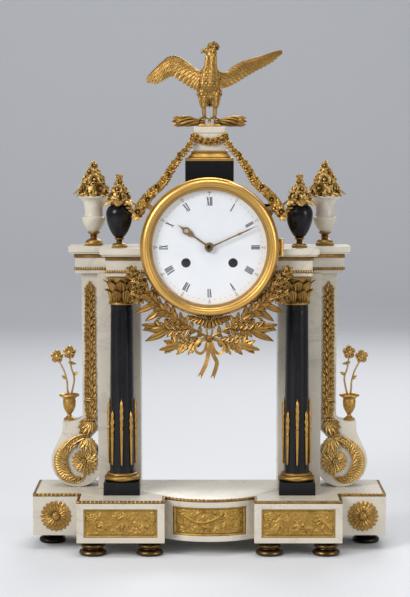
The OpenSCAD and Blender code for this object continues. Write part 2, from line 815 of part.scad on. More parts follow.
module eagle_pedestal() {
  color(white_marble) difference() {
    union() {
      crest_step(pedestal_w, pedestal_w, mould_top, 0.68 * pedestal_h);
      crest_step(pedestal_w - 3, pedestal_w - 3, mould_top + 0.68 * pedestal_h, 0.06 * pedestal_h);
      crest_step(pedestal_w - 0.6, pedestal_w - 0.6, mould_top + 0.74 * pedestal_h, 0.26 * pedestal_h);
    }
    translate([0, 0, mould_top - 1]) cylinder(r = tie_r + run_fit, h = pedestal_h - 4);
  }
}

// A flowered swag hung over the pedestal between two knots
module pedestal_swag() {
  y = -pedestal_w / 2;
  z = mould_top + 0.62 * pedestal_h;
  half = pedestal_w / 2;
  color(gilt) difference() {
    union() {
      branch([[-half, y, z], [-0.6 * half, y - 1.6, z - 4.5], [0, y - 2, z - 6.5],
        [0.6 * half, y - 1.6, z - 4.5], [half, y, z]], 2.4, 2.4);
      for (s = [-1, 1])
        blossom([s * (half + 0.6), y - 0.4, z], 270, 90, 3.6);
      for (i = [-1 : 1])
        blossom([i * 0.46 * half, y - 2, z - 6.5 + 2 * i * i], 270, 90, 4);
    }
    crest_step(pedestal_w, pedestal_w, mould_top, pedestal_h);
  }
}

// The two bundles of flame that the eagle stands on, on a low tray
module thunderbolt() {
  color(gilt) translate([0, 0, pedestal_top]) scale(bird) {
    hull() {
      translate([-13, -9, 0]) cube([26, 18, 1]);
      translate([-11, -7, 2.6]) cube([22, 14, 1]);
    }
    for (s = [-1, 1]) {
      twig([s * 9, 0, 3.4], [s * 17, 0, 4.6], 2.2, 2.4);
      twig([s * 17, 0, 4.6], [s * 27, 0, 6], 2.4, 5);
      twig([s * 27, 0, 6], [s * 35, 0, 6], 5, 4.4);
      for (i = [0 : 5])
        translate([s * 30, 0, 6]) rotate([i * 60, 0, 0])
          gem([0, 0, 2], [s * (i % 2 == 0 ? 11 : 8), 0, 4.6], [s * 4, 2.6, 3.4], [s * 4, -2.6, 3.4],
            [s * 4, 0, 5.6], [s * 4, 0, 1]);
    }
  }
}

// A wing through stations [x, y, top, bottom], thick along its leading edge and thin behind
module wing(st, thick) {
  n = len(st) - 1;
  for (i = [0 : n - 1])
    hull()
      for (q = [st[i], st[i + 1]], e = [2, 3]) {
        r = thick * (e == 2 ? 1 : 0.5) * (q == st[n] ? 0.7 : 1);
        translate([q[0], q[1], q[e]]) sphere(r = r, $fn = 7);
      }
}

// The eagle, with its head to the left and both wings spread
module eagle() {
  color(gilt) difference() {
    translate([0, 0, pedestal_top]) scale(bird) {
      hull() {
        translate([0, -2, 46]) sphere(r = 12.5, $fn = 10);
        translate([0, 0, 57]) sphere(r = 11, $fn = 10);
        translate([0, 2, 37]) sphere(r = 8, $fn = 10);
      }
      hull() {
        translate([0.5, -1, 60]) sphere(r = 8, $fn = 10);
        translate([2, -2, 78]) sphere(r = 5.6, $fn = 10);
      }
      hull() {
        translate([3, -2.5, 84]) sphere(r = 6.6, $fn = 10);
        translate([-1, -4, 84]) sphere(r = 5.4, $fn = 10);
      }
      gem([-3, -4, 83], [-11, -6, 79.5], [-5, -1.5, 83], [-5, -7.5, 83], [-7, -5, 86], [-5, -4.5, 80]);
      for (q = [[-4, 88, -3, 95], [1, 88, 1, 96], [5, 88, 9, 92.5]])
        gem([q[0], -3, q[1] - 4], [q[2], -2, q[3]], [q[0] - 3, -3, q[1]], [q[0] + 3, -3, q[1]],
          [q[0], -6, q[1]], [q[0], 0, q[1]]);
      for (s = [-1, 1]) {
        hull() {
          translate([s * 7, -1, 38]) sphere(r = 6.6, $fn = 10);
          translate([s * 6, -1, 20]) sphere(r = 3.2, $fn = 8);
        }
        twig([s * 6, -1, 20], [s * 5.5, -1, 9], 2.6, 2.4);
        for (a = [200, 270, 340])
          translate([s * 5.5, -1, 8]) rotate([0, 0, a])
            gem([0, 0, 2], [8, 0, -3.5], [3, 1.8, 1], [3, -1.8, 1], [3, 0, 3], [3, 0, -3]);
      }
      gem([0, 4, 44], [0, 17, 22], [-9, 12, 28], [9, 12, 28], [0, 16, 32], [0, 9, 30]);
      wing([[-5, 1, 60, 42], [-14, 3, 58, 41], [-24, 5, 67, 43], [-34, 6, 75.5, 52], [-45, 6, 75.5, 58],
        [-54, 5, 69, 53], [-67, 4, 56.5, 51]], 3.2);
      wing([[5, 1, 60, 42], [14, 3, 57, 42], [24, 4, 62, 47], [40, 6, 71, 57], [62, 5, 75.5, 68],
        [78, 4, 82.5, 79]], 3.2);
    }
    thunderbolt();
  }
}

// The flower garland that hangs from the pedestal round the side of the bezel
garland_low = 25;
garland_high = 80;
garland_low_r = bezel_r + 10.5 * laid_out;
garland_high_r = (mould_top + 0.33 * pedestal_h - dial_z) / sin(garland_high);
garland_front = -flange_front - 2;
garland_back = -pedestal_w / 2 - 3.9;
function garland_r(a) = garland_low_r + (garland_high_r - garland_low_r) * pow(max(0, (a - 52) / 28), 1.3);
function garland_y(a) = garland_front + (garland_back - garland_front) * pow(max(0, (a - 46) / 34), 1.2);
function garland_at(a) = [garland_r(a) * cos(a), garland_y(a), dial_z + garland_r(a) * sin(a)];

module garland() {
  color(gilt) difference() {
    union() {
      branch([for (a = [garland_low : 11 : garland_high]) garland_at(a)], 3.6, 4.2);
      for (i = [0 : 5]) {
        a = 27 + i * 9.8;
        p = garland_at(a);
        side = i % 2 == 0 ? 1 : -1;
        blossom(p + [side * 1.6 * cos(a), -1.5, side * 1.6 * sin(a)], 270, 90, 6);
        leaf_at(p, a + 90 - side * 65, 9, 5.5, 2.4);
      }
      leaf_at(garland_at(garland_low), -60, 9, 6, 2.4);
    }
    pedestal_swag();
    for (a = tab_angles)
      mount_tab(a);
    crest_step(pedestal_w, pedestal_w, mould_top, pedestal_h);
    crest_step(crest_w, crest_d, dial_z, crest_top - dial_z);
  }
}

module left_garland() {
  mirror([1, 0, 0]) garland();
}

module right_garland() {
  garland();
}

// A tab on the drum's flange that a gilt mount is screwed to
module mount_tab(a) {
  translate([0, 0, dial_z]) rotate([0, -a, 0])
    translate([flange_r - 2, -flange_back - flange_t, -3]) cube([16, flange_t, 6]);
}

// Hinge knuckle at the height z above the dial's middle
module knuckle(x, d, z, h, r) {
  translate([x, -d, dial_z + z]) cylinder(r = r, h = h, $fn = 32);
}

module drum_case() {
  color(brass) {
    difference() {
      union() {
        about_dial() polygon([[drum_r - drum_wall, drum_back], [drum_r, drum_back], [drum_r, flange_back],
          [flange_r, flange_back], [flange_r, flange_front], [drum_r - 9, flange_front],
          [drum_r - 9, flange_back], [drum_r - drum_wall, flange_back]]);
        for (a = tab_angles)
          mount_tab(a);
        for (z = [knuckle_h / 2 + ease, -knuckle_h * 1.15 - ease]) {
          knuckle(hinge_x, hinge_d, z, 0.65 * knuckle_h, knuckle_r);
          translate([flange_r - 4, -flange_front, dial_z + z])
            cube([hinge_x - flange_r + 4, flange_t, 0.65 * knuckle_h]);
        }
        for (z = [knuckle_h / 2 + ease, -knuckle_h * 1.15 - ease]) {
          knuckle(rear_hinge_x, rear_hinge_d, z, 0.65 * knuckle_h, knuckle_r);
          translate([drum_r - 1.4, pier_back + ease, dial_z + z])
            cube([rear_hinge_x - drum_r + 1.4, 4, 0.65 * knuckle_h]);
        }
      }
      translate([0, 0, dial_z + 0.7 * drum_r]) cylinder(r = tie_hole_r, h = drum_r);
    }
    knuckle(hinge_x, hinge_d, -knuckle_h * 1.15, 2.3 * knuckle_h, hinge_pin_r);
    knuckle(rear_hinge_x, rear_hinge_d, -knuckle_h * 1.15, 2.3 * knuckle_h, hinge_pin_r);
  }
}

// The gilt bezel: a moulded ring that carries the glass and swings on a hinge at the right
module bezel() {
  color(gilt) difference() {
    union() {
      about_dial() polygon([[bezel_r, bezel_back], [bezel_r, bezel_back + 3.5],
        [rim(0.93), bezel_back + 4.2], [rim(0.91), bezel_back + 7.5],
        [rim(0.81), bezel_front - 2], [rim(0.66), bezel_front - 0.3],
        [rim(0.53), bezel_front], [rim(0.46), bezel_front - 0.8], [rim(0.42), bezel_front - 2.4],
        [rim(0.25), glass_seat + 1.2], [rim(0.25), glass_seat], [sight_r, glass_seat - 0.6],
        [sight_r, dial_front + ease], [dial_edge_r + ease, dial_front + ease],
        [dial_edge_r + ease, bezel_back]]);
      knuckle(hinge_x, hinge_d, -knuckle_h / 2, knuckle_h, knuckle_r);
      translate([bezel_r - 3, -hinge_d - 2, dial_z - knuckle_h / 2])
        cube([hinge_x - bezel_r + 3, 2.4, knuckle_h]);
    }
    knuckle(hinge_x, hinge_d, -knuckle_h, 2 * knuckle_h, hinge_pin_r + run_fit);
  }
}

// The convex glass, held in the bezel's rebate
module dial_glass() {
  c = (glass_r * glass_r - glass_rise * glass_rise) / (2 * glass_rise);
  ro = c + glass_rise;
  color(glass) translate([0, -glass_seat, dial_z]) rotate([90, 0, 0]) intersection() {
    translate([0, 0, -c]) difference() {
      sphere(r = ro + glass_t, $fn = 160);
      sphere(r = ro, $fn = 160);
    }
    cylinder(r = glass_r, h = 30, $fn = 96);
  }
}

module dial() {
  color(enamel) difference() {
    about_dial() polygon([[hour_pipe_r + 1, flange_front], [dial_edge_r, flange_front],
      [dial_edge_r, dial_front - 0.5], [dial_edge_r - 0.5, dial_front], [hour_pipe_r + 1, dial_front]]);
    for (s = [-1, 1])
      bar(s * wind_x, -wind_drop, 0, base_d, wind_hole_r);
  }
}

// A flat hand pointing up: outlines in X and Z, each carried from depth d by t
module hand_plate(d, t) {
  for (i = [0 : $children - 1])
    translate([0, -d, dial_z]) rotate([90, 0, 0]) linear_extrude(t) children(i);
}

// Hand angles at rest, clockwise from twelve
minute_rest = 65.5;
hour_rest = 305.4;
hour_hand_d = dial_front + 1.6;
minute_hand_d = hour_hand_d + 2.2;
hand_t = 1;

module minute_hand() {
  l = minute_l;
  color(gilt) translate([0, 0, dial_z]) rotate([0, minute_rest, 0]) translate([0, 0, -dial_z]) difference() {
    union() {
      hand_plate(minute_hand_d, hand_t) {
        circle(r = 4.8);
        polygon([[-1.1, 0], [-0.7, 0.54 * l], [-1.4, 0.6 * l], [-0.6, 0.68 * l], [-0.9, 0.74 * l], [0, l],
          [0.9, 0.74 * l], [0.6, 0.68 * l], [1.4, 0.6 * l], [0.7, 0.54 * l], [1.1, 0]]);
      }
      hand_plate(minute_hand_d, hand_t + 0.8) circle(r = 3.6);
    }
    bar(0, 0, 0, base_d, cannon_r);
  }
}

module hour_hand() {
  l = hour_l;
  color(gilt) translate([0, 0, dial_z]) rotate([0, hour_rest, 0]) translate([0, 0, -dial_z]) difference() {
    hand_plate(hour_hand_d, hand_t) {
      circle(r = 5.4);
      polygon([[-1.2, 0], [-0.8, 0.62 * l], [0.8, 0.62 * l], [1.2, 0]]);
      polygon([[-1, 0.5 * l], [-3.6, 0.6 * l], [0, 0.68 * l], [3.6, 0.6 * l], [1, 0.5 * l]]);
      translate([0, 0.72 * l]) circle(r = 4.2);
      polygon([[-2, 0.8 * l], [-0.8, 0.86 * l], [0, l], [0.8, 0.86 * l], [2, 0.8 * l]]);
    }
    bar(0, 0.72 * l, 0, base_d, 2.5);
    bar(0, 0, 0, base_d, hour_pipe_r);
  }
}

// Two laurel branches under the bezel. Places are [x, z] from the dial's middle, for the right-hand branch,
// laid out for a bezel of radius 77
spray_stems = [[[2, -100], [20, -90], [41, -76], [62, -59], [84, -30]], [[20, -91], [40, -92], [57, -88]],
  [[2, -102], [30, -107]]];
// Leaves are [x, z, angle, length, width]
spray_leaves = [[55, -89, 8, 21, 8.5], [46, -91, -3, 24, 8.5], [44, -92, -24, 30, 9.5],
  [40, -92, -100, 18, 8], [29, -107, -14, 28, 11], [22, -106, -42, 20, 10], [15, -104, -60, 18, 8],
  [58, -62, -24, 27, 9], [52, -68, -36, 24, 9], [66, -54, -12, 20, 9], [40, -76, 96, 9, 6],
  [34, -81, 30, 15, 7], [28, -85, 118, 12, 6], [50, -70, 62, 12, 6], [36, -91, 50, 11, 6]];
// Blossoms are [x, z, radius] and berries are [x, z]
spray_blossoms = [[79, -53, 8], [78.4, -38.6, 8], [86, -28, 6]];
spray_berries = [[44, -77], [25, -84], [34, -94]];
spray_y = -flange_front - 1.6;

function on_spray(x, z, fore) = [x, -fore, z];

module spray() {
  for (stem = spray_stems)
    branch([for (p = stem) on_spray(p[0], p[1], 0)], 1.7, 1.3);
  for (q = spray_leaves)
    leaf_at(on_spray(q[0], q[1], 0.5), q[2], q[3], q[4], 2);
  for (q = spray_blossoms)
    blossom(on_spray(q[0], q[1], -1), 270, 90, q[2]);
  for (q = spray_berries)
    translate(on_spray(q[0], q[1], 0.6)) sphere(r = 2.1, $fn = 6);
}

// The small scalloped apron between the branches
module apron() {
  translate([0, -flange_front, dial_z - bezel_r - 1]) {
    for (x = [-7, 0, 7])
      hull() {
        translate([x - 3.5, -2.4, -3]) cube([7, 2.4, 3]);
        translate([x, 0, -11]) rotate([90, 0, 0]) cylinder(r = 3, h = 2.4, $fn = 8);
      }
    hull() {
      translate([-3, -2.4, -24]) cube([6, 2.4, 14]);
      translate([-4, -2.4, -4]) cube([8, 2.4, 2]);
    }
  }
}

module laurel_swag() {
  color(gilt) difference() {
    union() {
      translate([0, spray_y, dial_z]) scale(laid_out) pair() spray();
      apron();
    }
    for (a = tab_angles)
      mount_tab(a);
  }
}

// A ribbon of width w through points, with its face to the front
module ribbon(pts, w) {
  for (i = [0 : len(pts) - 2])
    hull()
      for (p = [pts[i], pts[i + 1]], s = [-1, 1])
        translate([p[0], p[1], p[2] + s * w / 2]) cube([1, 1.2, 1], center = true);
}

module ribbon_bow() {
  color(gilt) difference() {
    translate([1, spray_y, dial_z - 101 * laid_out]) scale(laid_out) {
      translate([-4, -5.4, -5]) cube([8, 5.4, 10]);
      pair() {
        ribbon([[2, -3, 0], [9, -5, -1], [14.5, -5, -6], [14.5, -4, -12], [9, -3, -15.5]], 4.5);
        ribbon([[9, -3, -15.5], [4.5, -2.4, -10], [2, -2.4, -2]], 4);
      }
      ribbon([[-1.5, -3, -4], [-3, -4.4, -15], [-4, -3.4, -25], [-11, -2.8, -41]], 5.5);
      ribbon([[2, -3, -4], [4.5, -4.4, -17], [7, -3.4, -28], [2.5, -2.8, -43]], 5.5);
    }
    laurel_swag();
  }
}

// A toothed wheel outline of n teeth at the given module
function tooth(n, i, f, r) = let (a = (i + f) * 360 / n) [r * cos(a), r * sin(a)];
module wheel_face(n, m) {
  rp = n * m / 2;
  polygon([for (i = [0 : n - 1], q = [[-0.27, rp - 1.25 * m], [-0.19, rp], [-0.08, rp + 0.9 * m],
    [0.08, rp + 0.9 * m], [0.19, rp], [0.27, rp - 1.25 * m]]) tooth(n, i, q[0], q[1])]);
}

// A wheel from depth d0 to d1 at x, z from the dial's middle, with one tooth at angle a
module wheel(x, z, d0, d1, n, m, a) {
  translate([x, -d0, dial_z + z]) rotate([90, 0, 0]) rotate([0, 0, a])
    linear_extrude(d1 - d0) wheel_face(n, m);
}

cannon_module = 2 * motion_c / (cannon_teeth + minute_teeth);
hour_module = 2 * motion_c / (minute_pinion_teeth + hour_teeth);
motion_x = motion_c * cos(motion_turn);
motion_z = motion_c * sin(motion_turn);
low_wheel_d = front_plate + 1.2;
high_wheel_d = low_wheel_d + wheel_t + 1;

// Pillar between the plates, or from the front plate to the dial
module post(a, r, d0, d1, t) {
  bar(r * cos(a), r * sin(a), d0, d1, t);
}

module movement_plates() {
  color(brass) {
    difference() {
      union() {
        bar(0, 0, plate_rear, back_plate, plate_r);
        translate([-11, -plate_rear, swing_z - 3.5]) cube([4, 8, 7]);
        translate([7, -plate_rear, swing_z - 3.5]) cube([4, 8, 7]);
        translate([-11, -plate_rear + 8, swing_z - 3.5]) cube([22, 3, 7]);
      }
      bar(0, swing_h, plate_rear - 20, plate_rear - 1, swing_r + run_fit);
      bar(0, swing_h, plate_rear - 1, back_plate + 1, pallet_r + run_fit);
      bar(0, 0, plate_rear - 1, back_plate + 1, centre_r + run_fit);
      for (s = [-1, 1])
        bar(s * wind_x, -wind_drop, plate_rear - 1, back_plate + 1, wind_r + run_fit);
      bar(hammer_x, hammer_z - dial_z, plate_rear - 1, back_plate + 1, hammer_r + run_fit);
    }
    difference() {
      bar(0, 0, front_plate - plate_t, front_plate, plate_r);
      bar(0, 0, front_plate - plate_t - 1, front_plate + 1, centre_r + run_fit);
      for (s = [-1, 1])
        bar(s * wind_x, -wind_drop, front_plate - plate_t - 1, front_plate + 1, wind_r + run_fit);
    }
    for (a = [25, 155, 235, 305])
      post(a, plate_r - 4, back_plate, front_plate - plate_t, 2.6);
    for (a = [90, 200, 340])
      post(a, plate_r - 4, front_plate, flange_front, 2);
    bar(motion_x, motion_z, front_plate, high_wheel_d + 2 * wheel_t, stud_r);
  }
}

module spring_barrels() {
  color(brass) for (s = [-1, 1])
    difference() {
      union() {
        bar(s * wind_x, -wind_drop, back_plate + 4, front_plate - plate_t - 5, barrel_r - 1.5);
        bar(s * wind_x, -wind_drop, back_plate + 4, back_plate + 7, barrel_r);
      }
      bar(s * wind_x, -wind_drop, back_plate - 1, front_plate, wind_r + run_fit);
    }
}

module winding_arbor(s) {
  color(steel) {
    bar(s * wind_x, -wind_drop, plate_rear - 1, front_plate + 4, wind_r);
    bar(s * wind_x, -wind_drop, front_plate + 4, dial_front - 0.5, wind_square * 0.7, $fn = 4);
    bar(s * wind_x, -wind_drop, back_plate + 1, back_plate + 3.5, wind_r + 2);
  }
}

module left_winding_arbor() {
  winding_arbor(-1);
}

module right_winding_arbor() {
  winding_arbor(1);
}

// Centre arbor with its wheel, the cannon pinion and the nut that holds the hands
module centre_arbor() {
  color(steel) {
    bar(0, 0, plate_rear - 0.5, minute_hand_d + hand_t + 2.6, centre_r);
    bar(0, 0, front_plate + 0.4, minute_hand_d + hand_t + 0.8, cannon_r);
    wheel(0, 0, low_wheel_d - 0.3, low_wheel_d + wheel_t + 0.3, cannon_teeth, cannon_module, motion_turn);
    bar(0, 0, minute_hand_d + hand_t + 0.8, minute_hand_d + hand_t + 2, 2.6);
    bar(0, 0, back_plate + 8, back_plate + 9.5, 11);
  }
}

// Minute wheel of the motion work, with its pinion
module minute_wheel() {
  gap = 180 / minute_teeth;
  color(brass) difference() {
    union() {
      wheel(motion_x, motion_z, low_wheel_d, low_wheel_d + wheel_t, minute_teeth, cannon_module,
        motion_turn + 180 + gap);
      wheel(motion_x, motion_z, low_wheel_d + wheel_t, high_wheel_d + wheel_t + 0.3, minute_pinion_teeth,
        hour_module, motion_turn + 180);
    }
    bar(motion_x, motion_z, front_plate, flange_front, stud_r + run_fit);
  }
}

// Hour wheel with the pipe that carries the hour hand
module hour_wheel() {
  gap = 180 / hour_teeth;
  color(brass) difference() {
    union() {
      wheel(0, 0, high_wheel_d, high_wheel_d + wheel_t, hour_teeth, hour_module, motion_turn + gap);
      bar(0, 0, high_wheel_d, hour_hand_d + hand_t, hour_pipe_r);
    }
    bar(0, 0, front_plate, base_d, cannon_r + run_fit);
  }
}

// Anchor: arbor, pallets between the plates, and the crutch that embraces the pendulum rod
module anchor() {
  color(steel) {
    bar(0, swing_h, plate_rear - 5, back_plate + 8, pallet_r);
    translate([-9, -back_plate - 6, swing_z - 6]) cube([18, 2.5, 4]);
    translate([-9, -back_plate - 6, swing_z - 10]) cube([2, 2.5, 5]);
    translate([7, -back_plate - 6, swing_z - 10]) cube([2, 2.5, 5]);
    translate([-0.8, -back_plate - 6, swing_z - 4]) cube([1.6, 2.5, 5]);
    translate([-1.3, -plate_rear + 3, swing_z - 30]) cube([2.6, 1.6, 31]);
    for (s = [-1, 1])
      translate([s * 1.9 - 0.6, -plate_rear + 3, swing_z - 30]) cube([1.2, 12, 3]);
    translate([-2.5, -plate_rear + 3, swing_z - 30]) cube([5, 1.6, 3]);
  }
}

// Pendulum: pivot pin, rod and lens-shaped bob
module pendulum() {
  color(brass) {
    translate([0, -plate_rear + 6, swing_z]) rotate([-90, 0, 0]) cylinder(r = swing_r, h = 8.5);
    translate([0, -swing_d, swing_z - pendulum_l]) cylinder(r = 1, h = pendulum_l);
    translate([-2.5, -swing_d - 1.2, swing_z - 4]) cube([5, 2.7, 7]);
    translate([0, -swing_d, swing_z - pendulum_l]) rotate([90, 0, 0])
      rotate_extrude() polygon([[0, -3.5], [0.5 * bob_r, -3], [bob_r, -0.6], [bob_r, 0.6],
        [0.5 * bob_r, 3], [0, 3.5]]);
  }
}

// Bell with its stand on the back plate
module bell() {
  h = 15;
  color(brass) {
    translate([0, -bell_d, dial_z]) rotate([-90, 0, 0]) rotate_extrude($fn = 64)
      polygon([[bell_r - 1.4, 0], [bell_r, 0], [0.93 * bell_r, 0.3 * h], [0.72 * bell_r, 0.72 * h],
        [0.3 * bell_r, h], [2, h], [2, h - 1.4], [0.28 * bell_r, h - 1.5], [0.68 * bell_r, 0.65 * h],
        [0.88 * bell_r, 0.27 * h]]);
    bar(bell_r + 8, 0, bell_d - h - 3, plate_rear, 2);
    translate([-3, -bell_d + h, dial_z - 2.5]) cube([bell_r + 13, 3, 5]);
    bar(0, 0, bell_d - h - 5, bell_d - h + 2, 1.9);
  }
}

// Striking hammer on its arbor beside the bell
module hammer() {
  color(steel) {
    bar(hammer_x, hammer_z - dial_z, plate_rear - 10, back_plate + 4, hammer_r);
    translate([hammer_x - 1.5, -plate_rear + 6, hammer_z - 1.5]) cube([3, 3, 27]);
    translate([hammer_x - 1.5, -plate_rear + 6, hammer_z + 22]) cube([3, 17, 3]);
    translate([hammer_x - 3, -bell_d - 0.5, hammer_z + 20]) cube([12.5 - run_fit, 5, 7]);
  }
}

module rear_door() {
  color(brass) difference() {
    union() {
      about_dial() polygon([[0, drum_back - ease - 2], [drum_r - 1.9, drum_back - ease - 2],
        [drum_r - 1.9, drum_back - ease], [0, drum_back - ease]]);
      knuckle(rear_hinge_x, rear_hinge_d, -knuckle_h / 2, knuckle_h, knuckle_r);
      translate([drum_r - 6, -drum_back + ease, dial_z - knuckle_h / 2])
        cube([rear_hinge_x - drum_r + 6, 2, knuckle_h]);
      bar(-drum_r + 12, 0, drum_back - 8, drum_back - 1, 3);
    }
    knuckle(rear_hinge_x, rear_hinge_d, -knuckle_h, 2 * knuckle_h, hinge_pin_r + run_fit);
  }
}

base_plinth();
base_edging();
bun_feet();
left_plaque();
centre_plaque();
right_plaque();
base_rosettes();
piers();
left_console();
right_console();
left_console_foliage();
right_console_foliage();
left_column();
right_column();
column_plinths();
column_rings();
column_spindles();
left_capital();
right_capital();
left_entablature();
right_entablature();
entablature_bands();
left_cornice();
right_cornice();
tie_rods();
white_urns();
black_urns();
urn_feet();
white_bouquets();
black_bouquets();
side_vases();
vase_flowers();
crest_block();
crest_moulding();
eagle_pedestal();
pedestal_swag();
thunderbolt();
eagle();
left_garland();
right_garland();
drum_case();
bezel();
dial_glass();
dial();
minute_hand();
hour_hand();
laurel_swag();
ribbon_bow();
movement_plates();
spring_barrels();
left_winding_arbor();
right_winding_arbor();
centre_arbor();
minute_wheel();
hour_wheel();
anchor();
pendulum();
bell();
hammer();
rear_door();
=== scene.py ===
# %% [markdown]
# # A portico mantel clock
# The clock is a small marble building: a base with a bowed front, two black columns before white piers, and
# a drum with an enamel dial hung between them. Gilt bronze flowers, ribbons and an eagle cover the joints.
# The solid frame already has every stone and wheel at its real size. This script gives each surface its
# finish, and models the cast and chased bronze, which is too fine for the frame.

# %% Load the frame
import json
import math
import random

import bmesh
import bpy
from mathutils import Matrix, Vector
from mathutils.bvhtree import BVHTree
from mathutils.geometry import interpolate_bezier

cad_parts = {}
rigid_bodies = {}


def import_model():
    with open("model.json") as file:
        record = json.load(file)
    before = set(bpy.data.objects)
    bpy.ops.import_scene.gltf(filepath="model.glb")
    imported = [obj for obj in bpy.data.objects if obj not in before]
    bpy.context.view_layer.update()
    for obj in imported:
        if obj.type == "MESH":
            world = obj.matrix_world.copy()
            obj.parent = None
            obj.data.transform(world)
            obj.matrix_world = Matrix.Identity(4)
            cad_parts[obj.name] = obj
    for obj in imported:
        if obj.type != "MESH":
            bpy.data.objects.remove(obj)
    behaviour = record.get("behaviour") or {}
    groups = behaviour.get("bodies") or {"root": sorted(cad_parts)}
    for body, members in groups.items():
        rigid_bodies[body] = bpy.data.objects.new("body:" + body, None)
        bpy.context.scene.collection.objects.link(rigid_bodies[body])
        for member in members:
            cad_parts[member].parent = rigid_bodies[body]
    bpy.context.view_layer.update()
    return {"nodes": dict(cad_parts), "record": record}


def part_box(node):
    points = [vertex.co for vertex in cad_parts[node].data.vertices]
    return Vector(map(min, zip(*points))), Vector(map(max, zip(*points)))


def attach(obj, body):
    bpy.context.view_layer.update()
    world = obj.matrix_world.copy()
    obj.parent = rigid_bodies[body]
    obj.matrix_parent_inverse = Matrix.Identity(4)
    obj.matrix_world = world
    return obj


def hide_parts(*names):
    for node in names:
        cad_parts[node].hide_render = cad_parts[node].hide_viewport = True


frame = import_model()
random.seed(11)

# %% [markdown]
# ## Camera, backdrop and light
# The photograph is taken from just above the dial with a long lens, so upright lines stay nearly parallel.
# A camera two metres away with a narrow field gives the same view. Large soft lamps suit polished stone and
# gilding: their reflections are broad, so a curved surface shades slowly from bright to dark.

# %% Camera
camera_data = bpy.data.cameras.new("camera")
camera_data.sensor_fit = "VERTICAL"
camera_data.sensor_height = 36
camera_data.lens = 109.6
camera_tilt = 5.28
camera = bpy.data.objects.new("camera", camera_data)
camera.location = (-0.005, -2.052, 0.474)
camera.rotation_euler = (math.radians(90 - camera_tilt), 0, 0)
bpy.context.scene.collection.objects.link(camera)
bpy.context.scene.camera = camera
bpy.context.scene.view_settings.view_transform = "Standard"
print("camera:", tuple(round(x, 3) for x in camera.location))


# %% Lamps and surroundings
def soft_lamp(name, place, aim, size, watts):
    """A square soft lamp at a place, turned towards a point."""
    data = bpy.data.lights.new(name, "AREA")
    data.shape = "RECTANGLE"
    data.size, data.size_y = size
    data.energy = watts
    lamp = bpy.data.objects.new(name, data)
    lamp.location = place
    lamp.rotation_euler = (Vector(aim) - Vector(place)).to_track_quat("-Z", "Y").to_euler()
    bpy.context.scene.collection.objects.link(lamp)


lamp_aim = (0, 0, 0.3)
soft_lamp("key_lamp", (-1.5, -1.5, 1.3), lamp_aim, size=(0.9, 1.1), watts=40)
soft_lamp("fill_lamp", (1.7, -1.3, 0.8), lamp_aim, size=(0.8, 1.2), watts=15)
soft_lamp("top_lamp", (0.0, -0.3, 2.2), lamp_aim, size=(1.2, 0.8), watts=16)
soft_lamp("back_lamp", (0.4, 1.7, 1.4), lamp_aim, size=(1.2, 0.8), watts=16)

world = bpy.data.worlds.new("studio")
bpy.context.scene.world = world
world.use_nodes = True
surround = world.node_tree.nodes["Background"]
surround.inputs["Color"].default_value = (0.80, 0.82, 0.86, 1)
surround.inputs["Strength"].default_value = 0.42

# %% Floor that sweeps up into a backdrop
sweep_start, sweep_radius, backdrop_top = 2.3, 0.9, 4.0
floor_front, floor_half_width = -6.0, 6.0
sweep_steps = 16
sweep = [(floor_front, 0.0)]
for i in range(sweep_steps + 1):
    turn = math.pi / 2 * i / sweep_steps
    sweep.append((sweep_start + sweep_radius * math.sin(turn), sweep_radius * (1 - math.cos(turn))))
sweep.append((sweep_start + sweep_radius, backdrop_top))
bm = bmesh.new()
line = [bm.verts.new((-floor_half_width, y, z)) for y, z in sweep]
edges = [bm.edges.new(pair) for pair in zip(line, line[1:])]
drawn = bmesh.ops.extrude_edge_only(bm, edges=edges)
moved = [g for g in drawn["geom"] if isinstance(g, bmesh.types.BMVert)]
bmesh.ops.translate(bm, verts=moved, vec=(2 * floor_half_width, 0, 0))
bmesh.ops.recalc_face_normals(bm, faces=bm.faces)
floor_mesh = bpy.data.meshes.new("floor")
bm.to_mesh(floor_mesh)
bm.free()
floor_mesh.shade_smooth()
floor = bpy.data.objects.new("floor", floor_mesh)
bpy.context.scene.collection.objects.link(floor)
floor_paint = bpy.data.materials.new("floor_paint")
floor_paint.use_nodes = True
floor_look = floor_paint.node_tree.nodes["Principled BSDF"]
floor_look.inputs["Base Color"].default_value = (0.66, 0.67, 0.69, 1)
floor_look.inputs["Roughness"].default_value = 0.7
floor.data.materials.append(floor_paint)
print("floor and backdrop:", 2 * floor_half_width, "m wide")

# %% [markdown]
# ## Finishes
# Every finish is a small node tree on Object coordinates, so the pattern keeps its real scale on each
# piece. Two effects return in several finishes and are node groups: a mottle of two colours, and a dark
# colour in the hollows, which is partly the patina that gathers where polishing cloths can't reach and
# partly painted shade. Pictures wrapped on the pieces could show the same, but nodes need no unwrapping
# and stay sharp close up.

# %% Node helpers
COLOR, FLOAT, VECTOR = "NodeSocketColor", "NodeSocketFloat", "NodeSocketVector"


def add_node(tree, kind, **inputs):
    """Adds a shader node and sets its inputs by name, with spaces written as underscores."""
    made = tree.nodes.new(kind)
    for key, value in inputs.items():
        made.inputs[key.replace("_", " ")].default_value = value
    return made


def colour_mix(tree):
    """A node that mixes two colours, with its factor, its two colours and its result."""
    made = tree.nodes.new("ShaderNodeMix")
    made.data_type = "RGBA"
    a, b = [s for s in made.inputs if s.type == "RGBA"]
    return made.inputs["Factor"], a, b, [s for s in made.outputs if s.type == "RGBA"][0]


def new_group(name, inputs, outputs):
    """An empty shader node group with named sockets, given as (name, kind, default)."""
    tree = bpy.data.node_groups.new(name, "ShaderNodeTree")
    for socket, kind, default in inputs:
        made = tree.interface.new_socket(socket, in_out="INPUT", socket_type=kind)
        made.default_value = default
    for socket, kind in outputs:
        tree.interface.new_socket(socket, in_out="OUTPUT", socket_type=kind)
    return tree, tree.nodes.new("NodeGroupInput").outputs, tree.nodes.new("NodeGroupOutput").inputs


